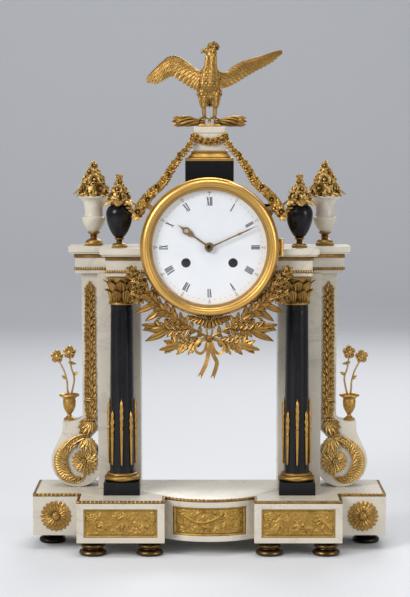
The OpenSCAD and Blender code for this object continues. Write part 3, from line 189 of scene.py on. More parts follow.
# %% Mottle group: two colours and two roughnesses mixed by a soft cloud
mottle_group, given, result = new_group(
    "mottle",
    [("Vector", VECTOR, (0, 0, 0)), ("Scale", FLOAT, 100.0), ("Light", COLOR, (1, 1, 1, 1)),
     ("Deep", COLOR, (0.5, 0.5, 0.5, 1)), ("Smooth", FLOAT, 0.2), ("Rough", FLOAT, 0.4)],
    [("Color", COLOR), ("Roughness", FLOAT)])
links = mottle_group.links
cloud = add_node(mottle_group, "ShaderNodeTexNoise", Detail=5.0, Roughness=0.6)
spread = add_node(mottle_group, "ShaderNodeMapRange", From_Min=0.3, From_Max=0.7)
gloss = mottle_group.nodes.new("ShaderNodeMapRange")
factor, deep, light, tinted = colour_mix(mottle_group)
links.new(given["Vector"], cloud.inputs["Vector"])
links.new(given["Scale"], cloud.inputs["Scale"])
links.new(cloud.outputs["Fac"], spread.inputs["Value"])
links.new(spread.outputs["Result"], factor)
links.new(spread.outputs["Result"], gloss.inputs["Value"])
links.new(given["Deep"], deep)
links.new(given["Light"], light)
links.new(given["Rough"], gloss.inputs["To Min"])
links.new(given["Smooth"], gloss.inputs["To Max"])
links.new(tinted, result["Color"])
links.new(gloss.outputs["Result"], result["Roughness"])
print("mottle group:", len(mottle_group.nodes), "nodes")

# %% Patina and painted shade group: a colour that darkens where the surface is shut in
tarnish_and_shade_group, given, result = new_group(
    "tarnish_and_shade",
    [("Color", COLOR, (1, 1, 1, 1)), ("Tarnish_and_shade", COLOR, (0.1, 0.05, 0.02, 1)), ("Open", FLOAT, 1.0),
     ("Amount", FLOAT, 1.0)],
    [("Color", COLOR)])
links = tarnish_and_shade_group.links
# Where the surface is shut in, the dark colour comes in: patina, and painted shade in the hollows
shut = add_node(tarnish_and_shade_group, "ShaderNodeMapRange", From_Min=0.95, From_Max=0.25)
factor, clean, dark, darkened = colour_mix(tarnish_and_shade_group)
links.new(given["Open"], shut.inputs["Value"])
links.new(given["Amount"], shut.inputs["To Max"])
links.new(shut.outputs["Result"], factor)
links.new(given["Color"], clean)
links.new(given["Tarnish_and_shade"], dark)
links.new(darkened, result["Color"])
print("groups:", [g.name for g in bpy.data.node_groups])


# %% Metal finishes
def start_finish(name):
    """A new material with its tree, its shader and its Object coordinates."""
    made = bpy.data.materials.new(name)
    made.use_nodes = True
    tree = made.node_tree
    coordinates = tree.nodes.new("ShaderNodeTexCoord")
    return made, tree, tree.nodes["Principled BSDF"], coordinates.outputs["Object"]


def place_mottle(tree, where, scale, light, deep, smooth, rough):
    """The mottle group in a material, with its own values."""
    made = tree.nodes.new("ShaderNodeGroup")
    made.node_tree = mottle_group
    tree.links.new(where, made.inputs["Vector"])
    made.inputs["Scale"].default_value = scale
    made.inputs["Light"].default_value = (*light, 1)
    made.inputs["Deep"].default_value = (*deep, 1)
    made.inputs["Smooth"].default_value = smooth
    made.inputs["Rough"].default_value = rough
    return made


def grain_bump(tree, where, shader, scale, depth):
    """A fine grain in the surface, depth in metres."""
    grain = add_node(tree, "ShaderNodeTexNoise", Scale=scale, Detail=3.0)
    bump = add_node(tree, "ShaderNodeBump", Strength=0.6, Distance=depth)
    tree.links.new(where, grain.inputs["Vector"])
    tree.links.new(grain.outputs["Fac"], bump.inputs["Height"])
    tree.links.new(bump.outputs["Normal"], shader.inputs["Normal"])


def metal(name, light, deep, tarnish_and_shade, smooth, rough, grain, depth, reach, amount):
    """A metal with mottled gilding or polish, a chased grain, and patina with painted shade in its hollows.
    """
    made, tree, shader, where = start_finish(name)
    shader.inputs["Metallic"].default_value = 1.0
    mottle = place_mottle(tree, where, 140, light, deep, smooth, rough)
    # Occlusion darkens the colour in the hollows: partly patina, partly painted shade
    hollow = tree.nodes.new("ShaderNodeAmbientOcclusion")
    hollow.samples = 6
    hollow.inputs["Distance"].default_value = reach
    tarnish_and_shade_node = tree.nodes.new("ShaderNodeGroup")
    tarnish_and_shade_node.node_tree = tarnish_and_shade_group
    tarnish_and_shade_node.inputs["Tarnish_and_shade"].default_value = (*tarnish_and_shade, 1)
    tarnish_and_shade_node.inputs["Amount"].default_value = amount
    tree.links.new(mottle.outputs["Color"], tarnish_and_shade_node.inputs["Color"])
    tree.links.new(hollow.outputs["AO"], tarnish_and_shade_node.inputs["Open"])
    tree.links.new(tarnish_and_shade_node.outputs["Color"], shader.inputs["Base Color"])
    tree.links.new(mottle.outputs["Roughness"], shader.inputs["Roughness"])
    grain_bump(tree, where, shader, grain, depth)
    return made


# The third colour given to each metal darkens its hollows: patina, and painted shade
finishes = {
    "gilt_bronze": metal("gilt_bronze", (0.58, 0.345, 0.095), (0.40, 0.228, 0.06), (0.08, 0.04, 0.012),
                         smooth=0.34, rough=0.50, grain=2600, depth=0.00010, reach=0.003, amount=0.75),
    "brass": metal("brass", (0.70, 0.51, 0.225), (0.62, 0.44, 0.185), (0.16, 0.09, 0.03),
                   smooth=0.31, rough=0.37, grain=1800, depth=0.00002, reach=0.006, amount=0.6),
    "steel": metal("steel", (0.50, 0.51, 0.53), (0.36, 0.37, 0.39), (0.08, 0.07, 0.06),
                   smooth=0.25, rough=0.40, grain=1200, depth=0.00004, reach=0.004, amount=0.6),
    "dark_bronze": metal("dark_bronze", (0.20, 0.125, 0.05), (0.09, 0.052, 0.02), (0.02, 0.012, 0.006),
                         smooth=0.28, rough=0.42, grain=1500, depth=0.00008, reach=0.005, amount=0.9),
}
burnished_gilding = metal("burnished_gilding", (0.76, 0.465, 0.135), (0.66, 0.39, 0.10), (0.26, 0.13, 0.03),
                          smooth=0.31, rough=0.41, grain=900, depth=0.00004, reach=0.004, amount=0.6)
dull_gilding = metal("dull_gilding", (0.47, 0.28, 0.082), (0.30, 0.17, 0.048), (0.05, 0.026, 0.009),
                     smooth=0.36, rough=0.52, grain=2600, depth=0.00010, reach=0.003, amount=0.85)
matt_gilding = metal("matt_gilding", (0.62, 0.415, 0.15), (0.44, 0.28, 0.09), (0.13, 0.075, 0.024),
                     smooth=0.42, rough=0.58, grain=2600, depth=0.00010, reach=0.003, amount=0.6)
relief_gilding = metal("relief_gilding", (0.52, 0.325, 0.085), (0.37, 0.22, 0.055), (0.085, 0.043, 0.013),
                       smooth=0.46, rough=0.60, grain=2600, depth=0.00010, reach=0.003, amount=0.85)
# A darker gilding: the own tone of the hands and the base's rope, and painted shade on the strips behind
# beads
aged_gilding_and_shade = metal("aged_gilding_and_shade", (0.36, 0.215, 0.07), (0.17, 0.095, 0.03), (0.025, 0.013, 0.006),
                     smooth=0.36, rough=0.52, grain=2600, depth=0.00010, reach=0.003, amount=1.0)
# Near-black blued steel, which also paints the shade inside the winding holes, on the arbors and the plate
blued_steel_and_shade = metal("blued_steel_and_shade", (0.014, 0.015, 0.020), (0.008, 0.008, 0.011), (0.006, 0.006, 0.007),
                    smooth=0.30, rough=0.42, grain=1200, depth=0.00004, reach=0.004, amount=0.9)
# Near-black bronze, painted shade for the feet that stand further back
painted_shade_bronze = metal("painted_shade_bronze", (0.045, 0.036, 0.026), (0.022, 0.018, 0.014), (0.008, 0.006, 0.005),
                     smooth=0.34, rough=0.50, grain=1500, depth=0.00008, reach=0.005, amount=0.9)
print("metals:", list(finishes))


# %% Stone finishes
def marble(name, light, deep, vein, vein_scale, vein_width, strength, smooth, rough, shine):
    """Polished marble: a cloudy ground with fine veins where a warped cloud passes its middle."""
    made, tree, shader, where = start_finish(name)
    shader.inputs["Specular IOR Level"].default_value = shine
    ground = place_mottle(tree, where, 22, light, deep, smooth, rough)
    warp = add_node(tree, "ShaderNodeTexNoise", Scale=vein_scale, Detail=7.0, Roughness=0.62,
                    Distortion=1.4)
    away = tree.nodes.new("ShaderNodeMath")
    away.operation = "SUBTRACT"
    away.inputs[1].default_value = 0.5
    near = tree.nodes.new("ShaderNodeMath")
    near.operation = "ABSOLUTE"
    line = add_node(tree, "ShaderNodeMapRange", From_Min=vein_width, From_Max=0.0, To_Max=strength)
    factor, plain, veined, stained = colour_mix(tree)
    tree.links.new(where, warp.inputs["Vector"])
    tree.links.new(warp.outputs["Fac"], away.inputs[0])
    tree.links.new(away.outputs["Value"], near.inputs[0])
    tree.links.new(near.outputs["Value"], line.inputs["Value"])
    tree.links.new(line.outputs["Result"], factor)
    tree.links.new(ground.outputs["Color"], plain)
    veined.default_value = (*vein, 1)
    tree.links.new(stained, shader.inputs["Base Color"])
    tree.links.new(ground.outputs["Roughness"], shader.inputs["Roughness"])
    grain_bump(tree, where, shader, 700, 0.00002)
    return made


finishes["white_marble"] = marble("white_marble", (0.62, 0.565, 0.465), (0.52, 0.47, 0.385),
                                  (0.36, 0.33, 0.28), vein_scale=9, vein_width=0.016, strength=0.42,
                                  smooth=0.24, rough=0.36, shine=0.5)
finishes["black_marble"] = marble("black_marble", (0.009, 0.009, 0.010), (0.005, 0.005, 0.006),
                                  (0.035, 0.035, 0.038), vein_scale=14, vein_width=0.008, strength=0.3,
                                  smooth=0.14, rough=0.24, shine=0.22)
print("stones:", ["white_marble", "black_marble"])


# %% Enamel, paint and glass
def mottled(name, scale, light, deep, smooth, rough):
    """A material whose colour and gloss are a mottle, with its tree, shader and Object coordinates."""
    made, tree, shader, where = start_finish(name)
    mottle = place_mottle(tree, where, scale, light, deep, smooth, rough)
    tree.links.new(mottle.outputs["Color"], shader.inputs["Base Color"])
    tree.links.new(mottle.outputs["Roughness"], shader.inputs["Roughness"])
    return made, tree, shader, where


enamel, tree, shader, where = mottled("enamel", 45, (0.75, 0.765, 0.79), (0.71, 0.725, 0.755), 0.08, 0.16)
grain_bump(tree, where, shader, 160, 0.00003)
finishes["enamel"] = enamel
dial_paint = mottled("dial_paint", 600, (0.025, 0.024, 0.03), (0.012, 0.011, 0.014), 0.25, 0.45)[0]
clear_glass, tree, shader, where = mottled("clear_glass", 30, (0.985, 0.99, 0.99), (0.97, 0.98, 0.98),
                                           0.0, 0.012)
shader.inputs["Transmission Weight"].default_value = 1.0
shader.inputs["IOR"].default_value = 1.45
# Light on its way to or from the dial passes straight through the glass; only the camera sees it bend
ray = tree.nodes.new("ShaderNodeLightPath")
open_way = tree.nodes.new("ShaderNodeBsdfTransparent")
choose = tree.nodes.new("ShaderNodeMixShader")
either = tree.nodes.new("ShaderNodeMath")
either.operation = "MAXIMUM"
tree.links.new(ray.outputs["Is Shadow Ray"], either.inputs[0])
tree.links.new(ray.outputs["Is Diffuse Ray"], either.inputs[1])
tree.links.new(either.outputs["Value"], choose.inputs["Fac"])
tree.links.new(shader.outputs["BSDF"], choose.inputs[1])
tree.links.new(open_way.outputs["BSDF"], choose.inputs[2])
tree.links.new(choose.outputs["Shader"], tree.nodes["Material Output"].inputs["Surface"])
finishes["clear_glass"] = clear_glass
print("finishes:", sorted(finishes))

# %% [markdown]
# ## Places and helpers
# The pieces below are drawn in millimetres, in the frame's own axes: X to the right, Y to the back, Z up.
# Their places come from the boxes of the frame's solids, so each mount sits where its solid sits. A few
# small functions stamp, lay, pin, bend and turn the forms, because the same moves return on every mount.

# %% Places from the frame, in millimetres
MM = 0.001
FRONT, BACK, UP, DOWN = Vector((0, -1, 0)), Vector((0, 1, 0)), Vector((0, 0, 1)), Vector((0, 0, -1))


def box_mm(node):
    """The lowest and highest corner of a solid of the frame, in millimetres."""
    low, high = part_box(node)
    return low / MM, high / MM


def middle_mm(node):
    """The middle of a solid of the frame, in millimetres."""
    low, high = box_mm(node)
    return (low + high) / 2


base_low, base_high = box_mm("base_plinth")
base_top = base_high.z
column = middle_mm("right_column")
shaft_low, shaft_high = box_mm("right_column")
portico_top = box_mm("piers")[1].z
console_face = box_mm("right_console")[0].y
cornice_top = box_mm("right_cornice")[1].z
pedestal_low, pedestal_high = box_mm("eagle_pedestal")
dial_low, dial_high = box_mm("dial")
dial_z = middle_mm("dial").z
dial_face = dial_low.y
bezel_r = 77.0
node_body = {n: body for body, nodes in frame["record"]["behaviour"]["bodies"].items() for n in nodes}
print("dial middle at", round(dial_z, 1), "mm, cornice top at", round(cornice_top, 1), "mm")


# %% Finishing a piece
def show_mesh(name, mesh, slot, nodes, finish, smooth):
    """A mesh in metres as an object that rides its body, has its finish and stands for its solids."""
    mesh.shade_smooth()
    mesh.set_sharp_from_angle(angle=math.radians(smooth))
    mesh.materials.append(finish or finishes[slot])
    made = bpy.data.objects.new(name, mesh)
    bpy.context.scene.collection.objects.link(made)
    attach(made, node_body[nodes[0]])
    return made


def finish_piece(name, bm, slot, nodes, finish=None, smooth=40, hides=True):
    """Turns a mesh drawn in millimetres into a finished piece that stands for its solids."""
    bmesh.ops.remove_doubles(bm, verts=bm.verts, dist=0.001)
    bmesh.ops.recalc_face_normals(bm, faces=bm.faces)
    bm.transform(Matrix.Scale(MM, 4))
    mesh = bpy.data.meshes.new(name)
    bm.to_mesh(mesh)
    bm.free()
    made = show_mesh(name, mesh, slot, nodes, finish, smooth)
    if hides:
        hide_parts(*nodes)
    print(name + ":", len(mesh.polygons), "faces")
    return made


# %% Small forms and where they go
def keep_form(name, bm):
    """Keeps a small mesh as a model that can be stamped many times."""
    bmesh.ops.remove_doubles(bm, verts=bm.verts, dist=0.0001)
    bmesh.ops.recalc_face_normals(bm, faces=bm.faces)
    form = bpy.data.meshes.new(name)
    bm.to_mesh(form)
    bm.free()
    return form


def stamp(bm, form, matrix):
    """Adds a copy of a form to a mesh at a place."""
    copy = form.copy()
    copy.transform(matrix)
    bm.from_mesh(copy)
    bpy.data.meshes.remove(copy)


def laid(at, along, face, size):
    """A place for a leaf: its length lies along one direction, its face looks in another."""
    x = Vector(along).normalized()
    y = Vector(face).cross(x).normalized()
    z = x.cross(y)
    return Matrix.Translation(at) @ Matrix((x, y, z)).transposed().to_4x4() @ Matrix.Diagonal((*size, 1))


def looking(at, face, size, turn=0.0):
    """A place for a flower or a turned form: its axis looks in a direction."""
    tilt = Vector(face).to_track_quat("Z", "Y").to_matrix().to_4x4()
    spin = Matrix.Rotation(turn, 4, "Z")
    return Matrix.Translation(at) @ tilt @ spin @ Matrix.Diagonal((size, size, size, 1))


def lay(bm, form, at, along, face, size):
    """Stamps a leaf or a feather at its place."""
    stamp(bm, form, laid(at, along, face, size))


def pin(bm, form, at, face, size=1.0, turn=0.0):
    """Stamps a flower or a turned form at its place."""
    stamp(bm, form, looking(at, face, size, turn))


def join(bm, sheet):
    """Adds a sheet to a mesh where it already lies."""
    stamp(bm, keep_form("sheet", sheet), Matrix.Identity(4))


# %% Smooth lines, bent sheets, turning and lumps
def smooth_through(points, steps=6):
    """Points along a smooth line that passes through the given ones."""
    knots = [Vector(p) for p in points]
    line = [knots[0]]
    for i in range(len(knots) - 1):
        a, b = knots[i], knots[i + 1]
        before, after = knots[max(i - 1, 0)], knots[min(i + 2, len(knots) - 1)]
        line += interpolate_bezier(a, a + (b - before) / 6, b - (after - a) / 6, b, steps + 1)[1:]
    return line


def shaped_sheet(along, across, shape, back):
    """A sheet whose points, u along from 0 to 1 and s across from -1 to 1, a function moves; it is then
    pulled straight back by a vector, which gives it a body and leaves its edge crisp."""
    bm = bmesh.new()
    bmesh.ops.create_grid(bm, x_segments=along, y_segments=across, size=0.5)
    for v in bm.verts:
        v.co = shape(v.co.x + 0.5, 2 * v.co.y)
    pulled = bmesh.ops.extrude_face_region(bm, geom=bm.faces[:])["geom"]
    bmesh.ops.translate(bm, verts=[v for v in pulled if isinstance(v, bmesh.types.BMVert)], vec=back)
    return bm


def turned_form(name, profile, steps=40, closed=False):
    """A form turned on the lathe from (radius, height) points about the upright axis."""
    bm = bmesh.new()
    points = [bm.verts.new((r, 0, h)) for r, h in profile]
    pairs = list(zip(points, points[1:])) + ([(points[-1], points[0])] if closed else [])
    edges = [bm.edges.new(pair) for pair in pairs]
    bmesh.ops.spin(bm, geom=points + edges, cent=(0, 0, 0), axis=(0, 0, 1), angle=math.tau, steps=steps,
                   use_merge=True)
    return keep_form(name, bm)


def ball(bm, at, radii, detail=2):
    """A round lump with its own radius on each axis."""
    spread = Matrix.Translation(at) @ Matrix.Diagonal((*radii, 1))
    bmesh.ops.create_icosphere(bm, subdivisions=detail, radius=1.0, matrix=spread)


# %% [markdown]
# ## The founder's models
# A bronze founder makes one good leaf, one rose and one daisy, casts them many times, and solders the casts
# into sprays. The script does the same: each model is a bent sheet with some thickness, and is stamped
# wherever a spray needs it. Each has few faces, because hundreds of copies are used.

# %% Leaves and feathers
def leaf_shape(point, blunt):
    """A leaf with a sunk midrib between two swollen halves; a low point value ends it sharply."""
    def shape(u, s):
        half = 0.5 * math.sin(math.pi * min(u, 0.999) ** point) ** blunt + 0.04
        swell = math.sin(math.pi * (0.1 + 0.8 * u))
        height = swell * (0.3 + 2.4 * abs(s) * (1 - abs(s)) - 0.35 * s * s)
        return Vector((u, s * half, height))
    return shape


leaf_body = (0, 0, -0.45)
laurel_leaf = keep_form("laurel_leaf", shaped_sheet(6, 4, leaf_shape(0.85, 0.9), leaf_body))
feather = keep_form("feather", shaped_sheet(5, 4, leaf_shape(1.35, 0.45), leaf_body))


def lobed_shape(u, s):
    """A broad leaf with a wavy, lobed edge, for acanthus and vine."""
    lobes = 1 - 0.30 * math.cos(4 * math.pi * u) ** 2 * abs(s)
    half = (0.5 * math.sin(math.pi * min(u, 0.999) ** 0.7) ** 0.7 + 0.04) * lobes
    height = math.sin(math.pi * (0.1 + 0.8 * u)) * (0.3 + 1.8 * abs(s) * (1 - abs(s))) + 0.5 * u * u
    return Vector((u, s * half, height + 0.12 * math.cos(8 * math.pi * u) * abs(s)))


lobed_leaf = keep_form("lobed_leaf", shaped_sheet(12, 4, lobed_shape, leaf_body))
print("leaf faces:", len(laurel_leaf.polygons), "lobed leaf faces:", len(lobed_leaf.polygons))


# %% Flowers
def petal_ring(bm, count, spread, inner, outer, low, high, flare, first=0.0):
    """A ring of cupped petals from an inner to an outer radius, rising from one height to another."""
    for i in range(count):
        turn = first + math.tau * i / count

        def shape(u, s, turn=turn):
            r = inner + (outer - inner) * u ** 0.8
            r *= 1 - 0.14 * s * s * u
            a = turn + math.radians(spread) * s * (0.55 + 0.45 * math.sin(math.pi * (0.15 + 0.7 * u)))
            rise = low + (high - low) * u - flare * u ** 4 - 0.16 * u * s * s
            return Vector((r * math.cos(a), r * math.sin(a), rise))

        petal = shaped_sheet(3, 4, shape, (0, 0, -0.10))
        join(bm, petal)


def heart(bm, height, radius):
    """The button in the middle of a flower."""
    ball(bm, (0, 0, height), (radius, radius, 0.8 * radius), 1)


rose_bm = bmesh.new()
petal_ring(rose_bm, 5, spread=46, inner=0.20, outer=1.00, low=0.0, high=0.38, flare=0.16)
petal_ring(rose_bm, 5, spread=48, inner=0.18, outer=0.72, low=0.05, high=0.60, flare=0.10, first=0.63)
petal_ring(rose_bm, 3, spread=72, inner=0.14, outer=0.42, low=0.10, high=0.72, flare=0.04, first=0.3)
heart(rose_bm, 0.42, 0.24)
rose = keep_form("rose", rose_bm)

blossom_bm = bmesh.new()
petal_ring(blossom_bm, 5, spread=36, inner=0.16, outer=1.00, low=0.0, high=0.34, flare=0.20)
heart(blossom_bm, 0.22, 0.27)
blossom = keep_form("blossom", blossom_bm)

daisy_bm = bmesh.new()
daisy_petals = 9
for i in range(daisy_petals):
    lay(daisy_bm, laurel_leaf, (0.1, 0, 0.1), (1, 0, 0.1), UP, (0.92, 0.42, 0.16))
    daisy_bm.transform(Matrix.Rotation(math.tau / daisy_petals, 4, "Z"))
heart(daisy_bm, 0.18, 0.26)
daisy = keep_form("daisy", daisy_bm)

bead = turned_form("bead", [(0, -1), (0.6, -0.8), (1, 0), (0.6, 0.8), (0, 1)], 8)
bud = turned_form("bud", smooth_through([(0, 0), (0.42, 0.25), (0.48, 0.6), (0.25, 1.1), (0, 1.5)], 2), 8)
print("rose faces:", len(rose.polygons), "blossom faces:", len(blossom.polygons))

# %% [markdown]
# ## Stones and wheels that the frame already shapes
# Sawn and polished stone has small softened arrises, which catch a line of light. A copy of each solid is
# welded, its flat faces are cleaned of triangles, and a narrow bevel softens its edges. Plates, arbors and
# wheels of the movement are welded and cleaned in the same way, but keep their edges. The solid itself isn't
# touched.

# %% Dressing a solid
def dress(node, slot, bevel=0.4, finish=None, sharp=35):
    """A welded copy of a solid with softened edges and a finish; bevel in millimetres."""
    bm = bmesh.new()
    bm.from_mesh(frame["nodes"][node].data)
    bmesh.ops.remove_doubles(bm, verts=bm.verts, dist=2e-6)
    bmesh.ops.dissolve_limit(bm, angle_limit=math.radians(0.5), verts=bm.verts, edges=bm.edges)
    mesh = bpy.data.meshes.new(node + "_dressed")
    bm.to_mesh(mesh)
    bm.free()
    made = show_mesh(node + "_dressed", mesh, slot, [node], finish, sharp)
    if bevel:
        soft = made.modifiers.new("soft_edges", "BEVEL")
        soft.width = bevel * MM
        soft.segments = 2
        soft.limit_method = "ANGLE"
        soft.angle_limit = math.radians(sharp)
        soft.harden_normals = True
    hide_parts(node)
    return made


stone_nodes = {
    "white_marble": ["base_plinth", "piers", "left_console", "right_console", "left_entablature",
                     "right_entablature", "left_cornice", "right_cornice", "eagle_pedestal"],
    "black_marble": ["left_column", "right_column", "column_plinths", "crest_block"],
}
for slot, nodes in stone_nodes.items():
    for node in nodes:
        dress(node, slot, 0.5)
print("dressed stones:", sum(len(n) for n in stone_nodes.values()))

# %% Dressing the movement, the dial and the hands
work_nodes = {
    "brass": ["drum_case", "movement_plates", "spring_barrels", "minute_wheel", "hour_wheel", "rear_door"],
    "steel": ["tie_rods", "anchor", "hammer"],
    "enamel": ["dial"],
    "clear_glass": ["dial_glass"],
}
for slot, nodes in work_nodes.items():
    for node in nodes:
        dress(node, slot, 0)
# The arbors take near-black blued steel; on the winding arbors it also paints the shade inside their holes
for node in ("left_winding_arbor", "right_winding_arbor", "centre_arbor"):
    dress(node, "steel", 0, blued_steel_and_shade)
for node in ("minute_hand", "hour_hand"):
    dress(node, "gilt_bronze", 0.15, aged_gilding_and_shade)
print("dressed works:", sum(len(n) for n in work_nodes.values()))

# %% [markdown]
# ## Bell and pendulum
# The clock strikes on a bell at the back of the drum, and its pendulum swings in front of that bell. Both
# are turned and polished brass. The facets of a solid would show as streaks on such a curve, so their
# profiles are drawn once more and spun finely; straps and blocks are cubes with softened edges.

# %% Bell on its stand
def slab(bm, at, size, soft=0.5):
    """A flat block or bar by its middle and its three sides, with softened edges."""
    made = bmesh.ops.create_cube(bm, size=1.0, matrix=Matrix.Translation(at) @ Matrix.Diagonal((*size, 1)))
    edges = {edge for v in made["verts"] for edge in v.link_edges}
    bmesh.ops.bevel(bm, geom=list(edges), offset=soft, affect="EDGES", segments=2, profile=0.5, material=-1)


bell_low, bell_high = box_mm("bell")
mouth, crown = bell_high.y - 20.0, bell_high.y - 5.0
post_x = 38.0
bell_outside = smooth_through([(30.0, 0.0), (29.6, 1.4), (27.9, 4.6), (21.6, 10.8), (12.5, 14.2),
                               (2.6, 15.0)], 5)
bell_inside = smooth_through([(2.6, 13.6), (12.0, 12.8), (20.4, 9.6), (26.5, 4.0), (28.2, 1.2),
                              (28.6, 0.0)], 5)
bell = bmesh.new()
bell_wall = turned_form("bell_wall", bell_outside + bell_inside, 72, closed=True)
pin(bell, bell_wall, Vector((0, mouth, dial_z)), BACK)
nut_profile = [(0, -2.0), (1.9, -2.0), (1.9, 3.0), (3.4, 3.0), (3.6, 3.4), (3.6, 4.4), (2.6, 5.0), (0, 5.0)]
pin(bell, turned_form("bell_nut", nut_profile, 24), Vector((0, crown, dial_z)), BACK)
slab(bell, Vector(((post_x - 1) / 2, crown + 1.5, dial_z)), (post_x + 4, 3.0, 5.0))
post_h = crown + 3 - bell_low.y
post_profile = [(0, 0), (3.2, 0), (3.2, 2.5), (2.0, 3.4), (2.0, post_h), (0, post_h)]
pin(bell, turned_form("bell_post", post_profile, 24), Vector((post_x, bell_low.y, dial_z)), BACK)
finish_piece("turned_bell", bell, "brass", ["bell"], smooth=30)

# %% Pendulum with its lens-shaped bob
swing_low, swing_high = box_mm("pendulum")
bob_r, bob_t, block_rise = 14.0, 3.5, 3.0
swing_z = swing_high.z - block_rise
bob_at = Vector((0, swing_high.y - bob_t, swing_low.z + bob_r))
bob_side = smooth_through([(0, bob_t), (0.5 * bob_r, 2.9), (0.86 * bob_r, 1.5), (bob_r, 0.5)], 5)
bob_profile = bob_side + [(r, -h) for r, h in reversed(bob_side)]
rod_top = swing_z - bob_at.z
rod_profile = [(0, 12.0), (1.7, 13.8), (1.9, 15.0), (1.7, 17.2), (1.0, 18.0), (1.0, rod_top), (0, rod_top)]
pendulum = bmesh.new()
pin(pendulum, turned_form("bob", bob_profile, 64), bob_at, BACK)
stamp(pendulum, turned_form("swing_rod", rod_profile, 20), Matrix.Translation(bob_at))
slab(pendulum, Vector((0, bob_at.y + 0.15, swing_z - 0.5)), (5.0, 2.7, 7.0))
pin_profile = [(0, 0), (1.0, 0), (1.2, 0.2), (1.2, 8.3), (1.0, 8.5), (0, 8.5)]
pin(pendulum, turned_form("swing_pin", pin_profile, 20), Vector((0, swing_low.y, swing_z)), BACK)
finish_piece("turned_pendulum", pendulum, "brass", ["pendulum"], smooth=30)

# %% [markdown]
# ## The base: edging, feet, rosettes
# A thin gilt moulding runs round the top of the base, cast in lengths with a rope of slanting beads. A
# bevelled curve would give a plain bead, so one bead is stamped along the line, each at the same slant. The
# feet are spun from a profile, as on a lathe, and the rosettes on the outer ends are two rings of petals.

# %% Gilt edging of the base
def evenly(points, gap):
    """Places about one gap apart along a line of points, each with the line's direction there."""
    for a, b in zip(points, points[1:]):
        count = max(1, round((b - a).length / gap))
        for i in range(count):
            yield a.lerp(b, (i + 0.5) / count), b - a


def add_mirrored(bm):
    """Adds the mirror image on the left to a right-hand mesh."""
    bmesh.ops.mirror(bm, geom=bm.verts[:] + bm.edges[:] + bm.faces[:], axis="X", merge_dist=0.0)


edge_inset, rope_gap = 1.1, 4.6
block_in, block_out = 50.0, 148.0
wing_front = -22.0
bow_front, bow_r = -56.0, 78.44
bow_middle = Vector((0, bow_front + bow_r, 0))
edge_z = base_top - 1.2
rope_r = bow_r - edge_inset
rope_reach = math.asin((block_in + edge_inset) / rope_r)
rope_line = [Vector((base_high.x - edge_inset, base_high.y, edge_z)),
             Vector((base_high.x - edge_inset, wing_front + edge_inset, edge_z)),
             Vector((block_out - edge_inset, wing_front + edge_inset, edge_z)),
             Vector((block_out - edge_inset, base_low.y + edge_inset, edge_z)),
             Vector((block_in + edge_inset, base_low.y + edge_inset, edge_z))]
bow_steps = 12
for i in range(bow_steps + 1):
    a = rope_reach * (1 - i / bow_steps)
    rope_line.append(bow_middle + Vector((rope_r * math.sin(a), -rope_r * math.cos(a), edge_z)))

edging = bmesh.new()
for at, along in evenly(rope_line, rope_gap):
    side = along.cross(UP).normalized()
    slant = along.normalized() + 0.45 * side + 0.25 * UP
    lay(edging, bead, at, slant, UP, (2.8, 1.5, 1.7))
add_mirrored(edging)
finish_piece("edging_rope", edging, "gilt_bronze", ["base_edging"], aged_gilding_and_shade, hides=False)
# The strip under the rope takes the darker gilding, which paints the shade in the gaps between the beads
dress("base_edging", "gilt_bronze", 0.6, aged_gilding_and_shade)

# %% Bun feet
foot_profile = ([(0, 0), (13.0, 0)]
                + smooth_through([(13.4, 0.1), (15.2, 1.6), (15.4, 3.4), (14.2, 5.4), (11.6, 6.8)], 4)
                + [(11.0, 7.2), (10.8, 7.8)]
                + smooth_through([(11.4, 8.2), (13.4, 9.6), (13.8, 11.2), (12.6, 12.8), (10.4, 13.4)], 4)
                + [(9.7, 13.7), (9.5, 16.5), (0, 16.5)])
foot = turned_form("foot", foot_profile, 48)
foot_edge = 15.4 + 3.3
foot_apart = 31.85
front_feet = [(column.x - foot_apart, base_low.y + foot_edge),
              (column.x + foot_apart, base_low.y + foot_edge)]
# The back and wing feet take near-black bronze, which paints the shade they stand in; the front feet keep
# the bronze's tone
dark_feet = [(base_high.x - foot_edge, (wing_front + base_high.y) / 2),
             (column.x - foot_apart, base_high.y - foot_edge)]
for name, places, finish in (("front_feet", front_feet, None), ("dark_feet", dark_feet, painted_shade_bronze)):
    feet = bmesh.new()
    for x, y in places:
        stamp(feet, foot, Matrix.Translation((x, y, 0)))
    add_mirrored(feet)
    finish_piece(name, feet, "dark_bronze", ["bun_feet"], finish)


# %% Rosettes on the outer ends
def heading(degrees):
    """A direction in the upright plane, anticlockwise from the right as seen from the front."""
    return Vector((math.cos(math.radians(degrees)), 0, math.sin(math.radians(degrees))))


rosette_at = Vector((174.0, wing_front, 38.75))
heart_profile = [(0, 0)] + smooth_through([(5.4, 0), (4.9, 2.6), (2.8, 4.2), (0, 4.7)], 3)
rosettes = bmesh.new()
for count, start, length, width, lift, first in ((20, 6.0, 11.6, 6.0, 0.7, 0), (16, 4.0, 8.6, 4.8, 1.7, 9)):
    for i in range(count):
        out = heading(first + 360 * i / count)
        petal_at = rosette_at + start * out + lift * FRONT
        lay(rosettes, feather, petal_at, out, FRONT, (length, width, 1.1))
pin(rosettes, turned_form("rosette_heart", heart_profile, 20), rosette_at, FRONT)
heart_beads = 10
for i in range(heart_beads):
    pin(rosettes, bead, rosette_at + 3.9 * heading(360 * i / heart_beads) + 3.6 * FRONT, FRONT, 0.8)
back_plate = turned_form("rosette_back", [(0, 0.0), (14.5, 0.0), (14.5, 1.0), (0, 1.6)], 36)
pin(rosettes, back_plate, rosette_at, FRONT)
add_mirrored(rosettes)
finish_piece("rosettes", rosettes, "gilt_bronze", ["base_rosettes"], dull_gilding)

# %% [markdown]
# ## The relief plaques
# Three gilt plaques show children at play in a garden, in low relief as a sculptor would model it in wax:
# the limbs are rounded ridges that run into each other. Each figure is a list of such ridges in its own
# small scale, and the plaque's grid of points is raised to the highest ridge at each point. It could be
# sculpted by hand too; ridges are exact, and a figure can serve again in another scene.

